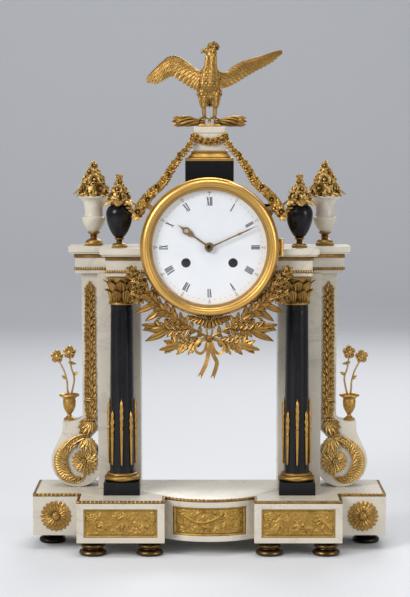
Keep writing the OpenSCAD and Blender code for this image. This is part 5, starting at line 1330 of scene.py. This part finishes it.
daisies = bmesh.new()
stem_foot = vase_at + 25.5 * UP
for points, head in (([(0, 0, -1), (2, -1, 10), (2.5, -2, 20), (6, -4, 33), (13, -4, 46)], (13.5, -5, 49)),
                     ([(-1, 0, -1), (-4.5, -1, 13), (-6.0, -2, 24), (-2.5, -4, 37), (-1, -4, 50)],
                      (-1, -5.5, 54))):
    rod(daisies, [stem_foot + Vector(p) for p in points], 1.2, 0.9)
    pin(daisies, daisy, stem_foot + Vector(head), Vector((0.25, -1, 0.1)), 7.2)
    pin(daisies, blossom, stem_foot + Vector(head) + 1.4 * BACK, Vector((0.25, -1, 0.1)), 8.0, 0.35)
for at, lean, length in (((1, -3, 42), 192, 10), ((-5, -2, 27), 150, 7), ((3, -2, 22), 40, 7)):
    lay(daisies, laurel_leaf, stem_foot + Vector(at), heading(lean), FRONT, (length, 3.6, 0.8))
ball(daisies, stem_foot + 0.5 * UP, (5.6, 5.6, 1.6))
add_mirrored(daisies)
finish_piece("daisies", daisies, "gilt_bronze", ["vase_flowers"], matt_gilding)

# %% [markdown]
# ## Crest and pedestal
# A gilt moulding joins the black block over the drum to the eagle's white pedestal. It is square, so it is
# turned in four steps only. A small swag of flowers hangs across the pedestal between two knots.

# %% Square moulding
def stamp_square(bm, profile, at, stretch):
    """A square form: turned in four steps, set straight and stretched along x and y."""
    form = turned_form("square", [(r * math.sqrt(2), h) for r, h in profile], 4)
    straight = Matrix.Rotation(math.radians(45), 4, "Z")
    stamp(bm, form, Matrix.Translation(at) @ Matrix.Diagonal((*stretch, 1, 1)) @ straight)


moulding_low, moulding_high = box_mm("crest_moulding")
half_deep = (moulding_high.y - moulding_low.y) / 2
wider = (moulding_high.x - moulding_low.x) / 2 / half_deep
ogee = smooth_through([(24.2, 3.2), (22.4, 4.0), (20.8, 5.6), (19.4, 7.4), (18.6, 8.4)], 4)
moulding_profile = ([(0, 0), (half_deep, 0), (half_deep, 2.5), (24.6, 2.9)] + ogee
                    + [(18.4, 8.7), (19.0, 9.2), (19.0, 10.7), (18.7, 11.0), (0, 11.0)])
moulding = bmesh.new()
stamp_square(moulding, moulding_profile, (0, 0, moulding_low.z), (wider, 1))
finish_piece("square_moulding", moulding, "gilt_bronze", ["crest_moulding"])

# %% Swag across the pedestal
swag_half = (pedestal_high.x - pedestal_low.x) / 2
swag_top = pedestal_low.z + 0.62 * (pedestal_high.z - pedestal_low.z)
swag = bmesh.new()


def swag_at(share):
    """A place on the hanging line: share runs from -1 at the left knot to 1 at the right one."""
    sag = 6.5 * (1 - share * share)
    return Vector((swag_half * share, pedestal_low.y - 0.6 - 1.6 * (1 - share * share), swag_top - sag))


rod(swag, [swag_at(i / 4 - 1) for i in range(9)], 2.6, 2.6)
for i in range(19):
    share = (i - 9) / 9.2
    for row in (-1, 1):
        at = swag_at(share) + (1.8 * row + random.uniform(-0.5, 0.5)) * UP + 1.4 * FRONT
        form = blossom if (i + row) % 3 else rose
        pin(swag, form, at, FRONT + 0.35 * row * UP, random.uniform(2.1, 2.9), i)
    lay(swag, laurel_leaf, swag_at(share) + 0.6 * FRONT, heading(-90 + 40 * (-1) ** i), FRONT,
        (4.8, 2.6, 0.8))
for side in (-1, 1):
    knot = swag_at(side) + Vector((0.6 * side, -0.6, 0.3))
    pin(swag, rose, knot, FRONT + 0.5 * side * heading(0), 3.3)
    for lean in (-90, -65, -115):
        lay(swag, laurel_leaf, knot + 0.3 * BACK, heading(lean), FRONT, (5.4, 2.8, 0.8))
    sideways = side * heading(0)
    beside = [knot, knot + Vector((1.2 * side, 5, -3.5)), knot + Vector((1.2 * side, 12, -5.5)),
              knot + Vector((0.8 * side, 20, -5))]
    rod(swag, beside, 1.7, 1.3)
    for i, at in enumerate(smooth_through(beside, 3)[1:]):
        pin(swag, blossom if i % 2 else rose, at + 0.8 * sideways, sideways + 0.3 * UP, 2.4, i)
finish_piece("pedestal_flowers", swag, "gilt_bronze", ["pedestal_swag"])

# %% [markdown]
# ## Thunderbolt and eagle
# The eagle of Jupiter stands on a thunderbolt, two bundles of flame that burst out to both sides. Its body
# is built from round lumps, as a modeller adds clay to a core; a remesh draws them into one skin. Rays then
# find places on the skin, and a feather is stamped on each.

# %% Thunderbolt
perch = Vector((0, 0, pedestal_high.z))
bolt = bmesh.new()
tray_depth = 0.69
tray = [(0, 0), (13, 0), (13, 1.0), (12.2, 1.6), (11, 2.4), (10.6, 3.4), (0, 3.6)]
stamp_square(bolt, tray, perch, (1, tray_depth))
flame_count = 8
for side in (-1, 1):
    for i in range(flame_count):
        turn = math.tau * i / flame_count
        strand = []
        for x, rise, spread in ((5, 4.2, 1.6), (12, 4.8, 2.4), (18, 5.4, 3.6), (24, 6.0, 4.8),
                                (30, 6.2, 5.0), (36, 6.2, 4.4)):
            twist = turn + 0.07 * x
            off = Vector((side * x, spread * math.cos(twist), rise + spread * math.sin(twist)))
            strand.append(perch + off)
        rod(bolt, strand, 1.5, 1.5)
        out = Vector((0, math.cos(turn), math.sin(turn)))
        root = perch + Vector((side * 29, 0, 6)) + 4.4 * out
        lay(bolt, feather, root, Vector((side, 0, 0)) + 0.10 * out, out, (12 if i % 2 else 9.5, 4.8, 1.5))
    ball(bolt, perch + Vector((side * 14, 0, 5)), (9, 2.2, 2.2))
    ball(bolt, perch + Vector((side * 28, 0, 6)), (10, 4.8, 4.8))
    lay(bolt, laurel_leaf, perch + Vector((side * 30, 0, 6)), Vector((side, 0, 0)), FRONT, (12.5, 4.5, 1.6))
finish_piece("bolt", bolt, "gilt_bronze", ["thunderbolt"], dull_gilding)


# %% The eagle's body
def limb(bm, a, b, ra, rb):
    """A round limb from one point to another, with a ball at each end."""
    a, b = Vector(a), Vector(b)
    turn = (b - a).to_track_quat("Z", "Y").to_matrix().to_4x4()
    bmesh.ops.create_cone(bm, cap_ends=True, segments=16, radius1=ra, radius2=rb, depth=(b - a).length,
                          matrix=Matrix.Translation((a + b) / 2) @ turn)
    ball(bm, a, (ra, ra, ra))
    ball(bm, b, (rb, rb, rb))


lumps = bmesh.new()
for at, radii in (((0, -2, 50), (11.0, 10.2, 13)), ((0, 0, 58), (10.2, 9, 8.4)), ((0, 1, 38), (8, 8, 9)),
                  ((2.4, -2.5, 85.2), (6.0, 5.4, 6.0)), ((-2.0, -3.4, 84.8), (4.2, 3.6, 3.6)),
                  ((3.8, -2.2, 90.0), (6.2, 4.8, 4.4))):
    ball(lumps, perch + Vector(at), radii, 3)
for a, b, ra, rb in (((0.4, -1, 57), (1.3, -1.6, 69), 10.0, 6.8),
                     ((1.3, -1.6, 69), (2, -2.2, 80), 6.8, 5.9), ((-9, 1.5, 57), (0.6, -1, 63), 4.5, 7.5),
                     ((9, 1.5, 57), (0.6, -1, 63), 4.5, 7.5), ((-7.2, -1, 38), (-6.8, -1.8, 25), 6.4, 3.8),
                     ((7.2, -1, 38), (6.8, -1.8, 25), 6.4, 3.8),
                     ((-6.6, -1.8, 25), (-5.6, -1, 9.5), 2.7, 2.2),
                     ((6.6, -1.8, 25), (5.6, -1, 9.5), 2.7, 2.2), ((0, 4, 42), (0, 13, 28), 6.0, 3.6)):
    limb(lumps, perch + Vector(a), perch + Vector(b), ra, rb)
clay = bpy.data.objects.new("clay", keep_form("clay", lumps))
bpy.context.scene.collection.objects.link(clay)
skin = clay.modifiers.new("skin", "REMESH")
skin.mode = "VOXEL"
skin.voxel_size = 0.9
soften = clay.modifiers.new("soften", "SMOOTH")
soften.iterations = 6
body_form = bpy.data.meshes.new_from_object(clay.evaluated_get(bpy.context.evaluated_depsgraph_get()))
bpy.data.objects.remove(clay)
eagle = bmesh.new()
eagle.from_mesh(body_form)
skin_tree = BVHTree.FromBMesh(eagle)
print("eagle's body:", len(body_form.polygons), "faces")


# %% Feathers on the body
def feather_rows(axis_low, axis_high, rows, count, length, width, bare=-99):
    """Rows of feathers on the skin, found by rays that run in to an axis; none grow left of a bare limit."""
    a, b = perch + Vector(axis_low), perch + Vector(axis_high)
    for row in range(rows):
        middle = a.lerp(b, row / (rows - 1))
        for i in range(count):
            out = around(360 * (i + 0.5 * (row % 2)) / count)
            hit, normal, _, _ = skin_tree.ray_cast(middle + 30 * out, -out)
            if hit and hit.x > bare:
                down = DOWN - normal * normal.dot(DOWN)
                along = down.normalized() + 0.10 * normal
                lay(eagle, feather, hit - 0.3 * normal, along, normal, (length, width, 0.7))


feather_rows((0, 0, 40), (0, 0, 64), rows=9, count=20, length=5.4, width=3.6)
feather_rows((0.8, -1, 66), (2, -2, 80), rows=7, count=15, length=4.4, width=2.8)
feather_rows((2.6, -2.4, 82), (3.2, -2.3, 92), rows=5, count=12, length=4.4, width=2.8, bare=0.6)
for side in (-1, 1):
    feather_rows((side * 6.8, -1.6, 25), (side * 7.2, -1, 38), rows=6, count=11, length=4.2, width=2.8)
print("feathered body:", len(eagle.faces), "faces")

# %% Head, feet and tail
beak = perch + Vector((-4.8, -3.9, 84.8))
rod(eagle, [beak, beak + Vector((-2.2, -0.8, 0.3)), beak + Vector((-3.8, -1.3, -1.4)),
            beak + Vector((-4.0, -1.4, -3.8))], 2.5, 0.5, 5)
rod(eagle, [beak + Vector((0, 0, -1.8)), beak + Vector((-2.4, -0.8, -2.4))], 1.6, 0.6)
for dy in (-3.9, 3.3):
    eye = perch + Vector((-1.6, -3.2 + dy, 86.0))
    ball(eagle, eye, (1.1, 0.7, 1.1))
    rod(eagle, [eye + Vector((-3.0, 0.2, 1.4)), eye + Vector((-0.4, -0.2, 1.8)),
                eye + Vector((3.0, 0.5, 0.9))], 0.9, 0.6)
for turn in (118, 92, 66, 40, 14):
    for dy in (-2.6, 0, 2.6):
        out = heading(turn)
        root = perch + Vector((3.8 + 5.6 * out.x, -2.2 + dy, 89.6 + (3.9 - 0.1 * dy * dy) * out.z))
        lay(eagle, feather, root, heading(turn - 90) - 0.12 * out, out, (5.4, 3.4, 0.8))
for side in (-1, 1):
    ankle = perch + Vector((side * 5.6, -1, 9.5))
    for turn in (205, 270, 335, 90):
        out = around(turn)
        claw = ankle + 7.6 * out + 5.0 * DOWN
        rod(eagle, [ankle, ankle + 3.2 * out + 0.4 * UP, ankle + 6.6 * out + 1.8 * DOWN, claw], 1.8, 0.4)
tail_half = 3
for i in range(-tail_half, tail_half + 1):
    lean = i / tail_half
    root = perch + Vector((2.2 * lean, 9 - abs(lean), 40))
    along = Vector((7 * lean, 8, -18))
    for face, shift in ((BACK, 0.6), (FRONT, -0.6)):
        lay(eagle, feather, root + shift * BACK, along, face, (20 - 2 * abs(lean), 5.4, 1.2))
print("with head, feet and tail:", len(eagle.faces), "faces")


# %% Wings
def feather_wing(stations, broad):
    """A wing through stations (x, y, top, bottom): a core sheet, feathers on both faces, a round edge."""
    top = smooth_through([perch + Vector((x, y, high)) for x, y, high, low in stations], 6)
    low = smooth_through([perch + Vector((x, y, low)) for x, y, high, low in stations], 6)

    def wing_at(u, q):
        share = min(max(u, 0.0), 1.0)
        return along_line(top, share)[0].lerp(along_line(low, share)[0], q)

    core = shaped_sheet(24, 6, lambda u, s: wing_at(u, (s + 1) / 2) + 0.9 * FRONT, (0, 1.8, 0))
    join(eagle, core)
    outwards = (wing_at(1, 0) - wing_at(0.9, 0)).normalized()
    for count, start, end, width, lift in ((17, 0.36, 1.05, 6.4, 0.7), (19, 0.16, 0.74, 5.4, 1.1),
                                           (21, 0.02, 0.46, 4.6, 1.5), (23, -0.04, 0.24, 3.8, 1.8)):
        for i in range(count):
            u = 0.05 + 0.90 * i / (count - 1)
            root, tip = wing_at(u, start), wing_at(u + 0.13, end)
            along = tip - root + 3.0 * u * u * outwards
            size = (along.length, broad * width * (1 - 0.35 * u), 0.8)
            for face in (FRONT, BACK):
                lay(eagle, feather, root + lift * face, along + 0.3 * face, face, size)
    rod(eagle, [wing_at(i / 8, 0.03) for i in range(9)], 2.6, 1.2)


feather_wing([(-5, -2, 62, 42), (-12, 0, 61, 40), (-20.6, 3, 67, 44), (-32, 5, 76, 51),
              (-43, 6, 78.5, 57.5), (-52, 5.5, 72.5, 52.5), (-61, 4.5, 64, 49), (-68, 4, 56.5, 51.5)], 1.0)
feather_wing([(5, -2, 62, 42), (16.8, 1, 58, 43), (28, 3.5, 66.5, 48.5), (36, 5, 71.5, 53),
              (45, 6, 74.5, 58.5), (54, 6, 77, 63.5), (63.5, 5, 80, 68.5), (72, 4, 83, 74),
              (79, 3.5, 84.5, 81.5)], 0.85)
finish_piece("feathered_eagle", eagle, "gilt_bronze", ["eagle"], dull_gilding)

# %% [markdown]
# ## Garlands beside the dial
# Two ropes of roses hang from the pedestal and follow the drum down to the cornice. A curve with an array
# of flowers would repeat too plainly. Here the rope has a round core, and its flowers sit now to one side
# and now to the other, each turned a little, so that no two gaps look alike.

# %% Rope of roses
garland_low, garland_high = 25.0, 80.0
garland_low_r, garland_high_r = bezel_r + 10.5, 116.7
garland_front, garland_back = dial_face, pedestal_low.y - 3.9


def garland_at(a):
    """A place on the rope, by its angle about the middle of the dial."""
    r = garland_low_r + (garland_high_r - garland_low_r) * max(0.0, (a - 52) / 28) ** 1.3
    y = garland_front + (garland_back - garland_front) * max(0.0, (a - 46) / 34) ** 1.2
    return Vector((r * math.cos(math.radians(a)), y, dial_z + r * math.sin(math.radians(a))))


garland = bmesh.new()
rod(garland, [garland_at(garland_low + 5.5 * i) for i in range(11)], 3.6, 2.3)
flower_count, leaf_count = 15, 30
for i in range(leaf_count):
    run = i / (leaf_count - 1)
    a = garland_low + (garland_high - garland_low) * run
    at, out = garland_at(a), heading(a)
    fine = 1.0 - 0.36 * run
    for side in (-1, 1):
        along = heading(a + 90 - 24 * side + random.uniform(-9, 9))
        size = (7.0 * fine, 4.6 * fine, 1.4)
        front_root = at + 2.4 * side * fine * out + 1.3 * FRONT
        back_root = at + 2.2 * side * fine * out + 1.2 * BACK
        lay(garland, feather, front_root, along, FRONT + 0.6 * side * out, size)
        lay(garland, feather, back_root, along, BACK + 0.6 * side * out, size)
        if i % 3 == (side + 1) // 2:
            rose_at = at + 3.4 * side * fine * out + 2.0 * FRONT
            pin(garland, rose, rose_at, FRONT + 0.9 * side * out, 3.0 * fine, i)
for i in range(flower_count):
    run = i / (flower_count - 1)
    a = garland_low + 1.5 + (garland_high - garland_low - 2) * run
    fine = 1.0 - 0.36 * run
    at = garland_at(a) + 1.1 * fine * (-1) ** i * heading(a) + 3.0 * fine * FRONT
    face = FRONT + random.uniform(-0.2, 0.2) * heading(a) + random.uniform(-0.2, 0.2) * heading(a + 90)
    pin(garland, blossom if i % 3 else rose, at, face, random.uniform(4.8, 5.4) * fine, i)
for lean, length in ((-62, 9), (-95, 8), (-30, 8)):
    lay(garland, lobed_leaf, garland_at(garland_low) + 1.2 * FRONT, heading(lean), FRONT,
        (length, 5.0, 1.4))
finish_sides("roses", garland, "gilt_bronze", "garland")

# %% [markdown]
# ## Bezel and dial
# The bezel is a turned and burnished ring: a bold round outside, a groove, and a fine step that holds the
# glass. The dial is white enamel with its figures painted on. A picture could carry them, but it blurs
# close up, so each stroke is a thin bar just proud of the face.

# %% Turned bezel with its hinge
dial_centre = Vector((0, 0, dial_z))
bezel_profile = ([(68.3, 43.9), (77, 43.9), (77, 46.8), (76.4, 47.4), (76.0, 47.8)]
                 + smooth_through([(76.0, 48.6), (75.7, 51.4), (74.4, 54.4), (72.4, 56.0), (70.4, 56.3),
                                   (69.4, 55.6)], 4)
                 + [(69.2, 54.8), (68.8, 54.2), (67.8, 54.0), (67.2, 53.4), (66.7, 53.1), (66.7, 51.9),
                    (63.5, 51.4), (63.3, 51.1), (63.3, 45.9), (68.3, 45.9)])
bezel = bmesh.new()
pin(bezel, turned_form("bezel_ring", bezel_profile, 128, closed=True), dial_centre, FRONT)
hinge = Vector((80.0, -44.9, dial_z))
limb(bezel, hinge - 3.6 * UP, hinge + 3.6 * UP, 2.3, 2.3)
hinge_plate = Matrix.Translation(hinge + Vector((-3.2, 0, 0))) @ Matrix.Diagonal((5.0, 1.8, 7.0, 1))
bmesh.ops.create_cube(bezel, size=1.0, matrix=hinge_plate)
finish_piece("turned_bezel", bezel, "gilt_bronze", ["bezel"], burnished_gilding, 30)

# %% Painted figures
numerals = ("XII", "I", "II", "III", "IIII", "V", "VI", "VII", "VIII", "IX", "X", "XI")
paint_at = Vector((0, dial_face - 0.05, dial_z))
figure_low, figure_high = 46.2, 55.4
thick_stroke, thin_stroke, serif_stroke, figure_gap = 1.15, 0.38, 0.24, 0.5
strokes = {"I": (thick_stroke, [(0.5, 1, 0.5, 0, thick_stroke)]),
           "V": (2.7, [(0.2, 1, 0.55, 0, thick_stroke), (0.95, 1, 0.55, 0, thin_stroke)]),
           "X": (2.9, [(0.2, 1, 0.8, 0, thick_stroke), (0.95, 1, 0.05, 0, thin_stroke)])}
paint = bmesh.new()


def paint_bar(at, along, length, width):
    """A thin painted bar on the dial, by its middle and direction."""
    bmesh.ops.create_cube(paint, size=1.0, matrix=laid(at, along, FRONT, (length, width, 0.1)))


for hour, word in enumerate(numerals):
    out, clockwise = heading(90 - 30 * hour), heading(-30 * hour)
    x = -(sum(strokes[c][0] for c in word) + figure_gap * (len(word) - 1)) / 2
    for letter in word:
        width, bars = strokes[letter]
        for xa, ha, xb, hb, stroke in bars:
            a = clockwise * (x + xa * width) + out * (figure_low + ha * (figure_high - figure_low))
            b = clockwise * (x + xb * width) + out * (figure_low + hb * (figure_high - figure_low))
            paint_bar(paint_at + (a + b) / 2, b - a, (b - a).length, stroke)
            for end in (a, b):
                paint_bar(paint_at + end, clockwise, stroke + 0.4, serif_stroke)
        x += width + figure_gap
print("painted bars:", len(paint.faces) // 6)

# %% Minute dots and five-minute figures
minute_r, five_r = 58.2, 60.7
dot = turned_form("dot", [(0, -0.05), (0.42, -0.05), (0.42, 0.05), (0, 0.05)], 8)
for minute in range(60):
    at = paint_at + minute_r * heading(90 - 6 * minute)
    pin(paint, dot, at, FRONT, 1.6 if minute % 5 == 0 else 1.0)
for hour in range(12):
    figures = bpy.data.curves.new("five_minutes", "FONT")
    figures.body = str(60 if hour == 0 else 5 * hour)
    figures.size = 3.4
    figures.extrude = 0.05
    figures.align_x = "CENTER"
    figures.align_y = "CENTER"
    holder = bpy.data.objects.new("five_minutes", figures)
    at = paint_at + five_r * heading(90 - 30 * hour)
    lay(paint, bpy.data.meshes.new_from_object(holder), at, heading(-30 * hour), FRONT, (1, 1, 1))
    bpy.data.objects.remove(holder)
print("with minutes:", len(paint.faces), "faces")


# %% Black rings painted round the winding holes: painted shade that widens the dark of each hole
def flat_ring(inner, outer, height):
    """A flat turned ring between two radii."""
    profile = [(inner, 0), (outer, 0), (outer, height), (inner, height)]
    return turned_form("flat_ring", profile, 40, closed=True)


winding_x, winding_z, hole_r, arbor_r = 26.0, dial_z - 17.2, 4.7, 3.0
# A thin black ring round each hole paints the shade at its edge, so the hole reads a little wider
hole_rim_shade = flat_ring(hole_r, hole_r + 0.5, 0.1)
for side in (-1, 1):
    pin(paint, hole_rim_shade, Vector((side * winding_x, dial_face, winding_z)), FRONT)
finish_piece("dial_figures_and_hole_shade", paint, "enamel", ["dial"], dial_paint, 30, hides=False)

# %% Dark rings on the plate behind the winding holes: painted shade in the depth of the holes
# The plate lies in shade behind the dial; these near-black rings paint that shade where the holes show it
plate_face, shade_ring_in, shade_ring_out = dial_high.y + 7.3, arbor_r + 0.4, hole_r + 3.0
shade_ring = flat_ring(shade_ring_in, shade_ring_out, 0.6)
shade_rings = bmesh.new()
pin(shade_rings, shade_ring, Vector((winding_x, plate_face, winding_z)), FRONT)
add_mirrored(shade_rings)
finish_piece("winding_hole_shade_rings", shade_rings, "steel", ["movement_plates"], blued_steel_and_shade, 30, hides=False)

# %% [markdown]
# ## Laurel swag and ribbon bow
# Under the dial two laurel branches cross behind a bow and reach up to the cornice on each side. The large
# leaves make the outline, so each is listed one by one: where its stalk starts, the way it points, its
# length and its width. Small leaves then follow the twigs in turn, with a little chance in their lean. The
# bow is a sheet bent along a line, as a ribbon is.

# %% Branches and large leaves
swag_y = -45.2


def beside_dial(x, z, forward=0.0):
    """A place in the plane of the swag, measured from the middle of the dial."""
    return Vector((x, swag_y - forward, dial_z + z))


spray = bmesh.new()
for points, thick, thin in (([(2, -100), (20, -90), (41, -76), (62, -59), (84, -30)], 1.7, 1.1),
                            ([(20, -91), (40, -92), (57, -88)], 1.2, 0.8),
                            ([(2, -102), (16, -106), (30, -107)], 1.2, 0.8)):
    rod(spray, [beside_dial(x, z) for x, z in points], thick, thin)
spray_leaves = [(55, -89, 8, 21, 8.5), (46, -91, -3, 24, 8.5), (44, -92, -24, 30, 9.5),
                (40, -92, -100, 18, 8), (29, -107, -14, 28, 11), (22, -106, -42, 20, 10),
                (15, -104, -60, 18, 8), (58, -62, -24, 27, 9), (52, -68, -36, 24, 9), (66, -54, -12, 20, 9),
                (40, -76, 96, 9, 6), (34, -81, 30, 15, 7), (28, -85, 118, 12, 6), (50, -70, 62, 12, 6),
                (36, -91, 50, 11, 6), (30, -106, -68, 13, 9), (37, -108, 18, 15, 9), (26, -105, 34, 13, 8),
                (38, -109, -36, 15, 9), (18, -106, -84, 12, 8), (48, -90, 28, 16, 7), (36, -92, -62, 14, 7),
                (60, -88, -16, 15, 7), (46, -74, -8, 15, 7), (40, -80, -30, 15, 7), (62, -58, 14, 15, 7),
                (70, -50, -34, 16, 7), (56, -66, 4, 14, 6), (32, -85, -14, 13, 6), (22, -90, 36, 12, 6)]
for x, z, lean, length, width in spray_leaves:
    along = heading(lean) + random.uniform(0.02, 0.16) * FRONT
    form = lobed_leaf if z < -100 else laurel_leaf
    lay(spray, form, beside_dial(x, z, 0.6), along, FRONT, (length, 0.8 * width, 0.22 * width))
print("large leaves:", len(spray_leaves))

# %% Small leaves and berries
small_leaves = (([(24, -88), (41, -76), (62, -59), (80, -36)], 26, 11.0),
                ([(24, -91), (42, -92), (57, -88)], 12, 9.5),
                ([(10, -103), (22, -106), (34, -107)], 9, 9.0), ([(8, -97), (20, -89), (32, -82)], 6, 8.0))
for points, count, length in small_leaves:
    twig = smooth_through([beside_dial(x, z) for x, z in points], 12)
    for i in range(count):
        step = i * (len(twig) - 2) // count
        at, after = twig[step], twig[step + 1]
        stem_lean = math.degrees(math.atan2(after.z - at.z, after.x - at.x))
        lean = stem_lean + (48 if i % 2 else -48) + random.uniform(-14, 14)
        size = (length * random.uniform(0.85, 1.15), 4.6, 1.3)
        lay(spray, laurel_leaf, at + 0.8 * FRONT, heading(lean) + 0.15 * FRONT, FRONT, size)
for x, z in ((47, -78), (49, -81), (31, -95), (33.5, -97), (62, -66), (64.5, -64), (22, -97), (24, -99.5),
             (57, -80), (43, -83)):
    pin(spray, bead, beside_dial(x, z, 0.8), FRONT, 1.9)
    rod(spray, [beside_dial(x, z, 0.4), beside_dial(x - 3.4, z + 1.6)], 0.6, 0.6)
print("laurel branches:", len(spray.faces), "faces")

# %% Flower clusters and apron
cluster_flowers = 12
for x, z, size in ((79, -53, 8), (78.4, -38.6, 8), (86, -28, 6)):
    middle = beside_dial(x, z, 0.8)
    ball(spray, middle, (0.7 * size, 2.4, 0.7 * size))
    for i in range(cluster_flowers):
        out = heading(137.5 * i) * math.sqrt((i + 0.5) / cluster_flowers)
        bulge = 2.8 * (1 - out.length_squared)
        at = middle + 0.95 * size * out + (0.8 + bulge) * FRONT
        pin(spray, (blossom, rose)[i % 2], at, FRONT + 0.6 * out, 0.36 * size, i)
    for i in range(9):
        out = heading(40 * i + x)
        lay(spray, laurel_leaf, middle + 0.6 * size * out, out + 0.1 * FRONT, FRONT,
            (0.85 * size, 3.6, 1.1))
add_mirrored(spray)
apron_z = -bezel_r - 1.5
for i in range(13):
    lean = 13 * (i - 6)
    root = beside_dial(0.20 * lean, apron_z + 0.02 * abs(lean), 1.0 + 0.5 * (i % 2))
    lay(spray, feather, root, heading(lean - 90), FRONT, (13.0 - 0.05 * abs(lean), 4.4, 1.6))
for i in range(9):
    pin(spray, bead, beside_dial(3.4 * (i - 4), apron_z + 0.12 * (i - 4) ** 2, 2.2), FRONT, 1.7)
pin(spray, rose, beside_dial(0, apron_z - 0.5, 2.0), FRONT, 3.6)
for side in (-1, 1):
    rod(spray, [beside_dial(2.0 * side, apron_z - 6, 0.4), beside_dial(3.2 * side, -92, 0.6),
                beside_dial(1.2 * side, -101)], 1.2, 1.0)
finish_piece("laurel_branches", spray, "gilt_bronze", ["laurel_swag"], dull_gilding)

# %% Ribbon bow
bow = bmesh.new()
bow_at = beside_dial(0, -101, 2.4)


def ribbon(points, width, lean, fork=0.0):
    """A ribbon through points: lean turns its face from the front, fork cuts its end in a V."""
    line = smooth_through([bow_at + Vector(p) for p in points], 5)

    def shape(u, s):
        at, run = along_line(line, u)
        along = run.normalized()
        flat = FRONT.cross(along).normalized()
        across = flat * math.cos(math.radians(lean)) + FRONT * math.sin(math.radians(lean))
        narrow = 0.55 + 0.45 * min(1.0, 4 * u)
        return at + across * (0.5 * width * narrow * s) + along * (fork * u ** 12 * (abs(s) - 0.5))

    join(bow, shaped_sheet(26, 6, shape, (0, 0.9, 0)))


for side in (-1, 1):
    ribbon([(1 * side, -1, 0), (6.0 * side, -3.4, 0.4), (12.2 * side, -3.8, -2.6),
            (16.0 * side, -3.4, -8.4), (14.6 * side, -2.8, -14.6), (9.8 * side, -2.2, -16.8),
            (5.6 * side, -1.6, -13.4), (3.6 * side, -1.2, -7.0), (1 * side, -1, -1)], 3.3, 20)
ribbon([(-0.6, -1, -2), (-1.4, -2.4, -11), (-1.8, -1.2, -20), (-4.6, -2.4, -30),
        (-10.6, -1.4, -42.5)], 4.6, 14, 4.0)
ribbon([(1.0, -1, -2), (1.6, -2.8, -11), (5.0, -1.6, -20), (8.2, -2.6, -28),
        (3.6, -1.4, -43.5)], 4.6, -14, 4.0)
ball(bow, bow_at + 2.4 * FRONT, (3.6, 2.6, 3.2))
for x in (-1.6, 0, 1.6):
    rod(bow, [bow_at + Vector((x, -2.2, 3.2)), bow_at + Vector((1.2 * x, -4.8, 0)),
              bow_at + Vector((x, -2.2, -3.2))], 0.8, 0.8)
finish_piece("bow", bow, "gilt_bronze", ["ribbon_bow"], dull_gilding)
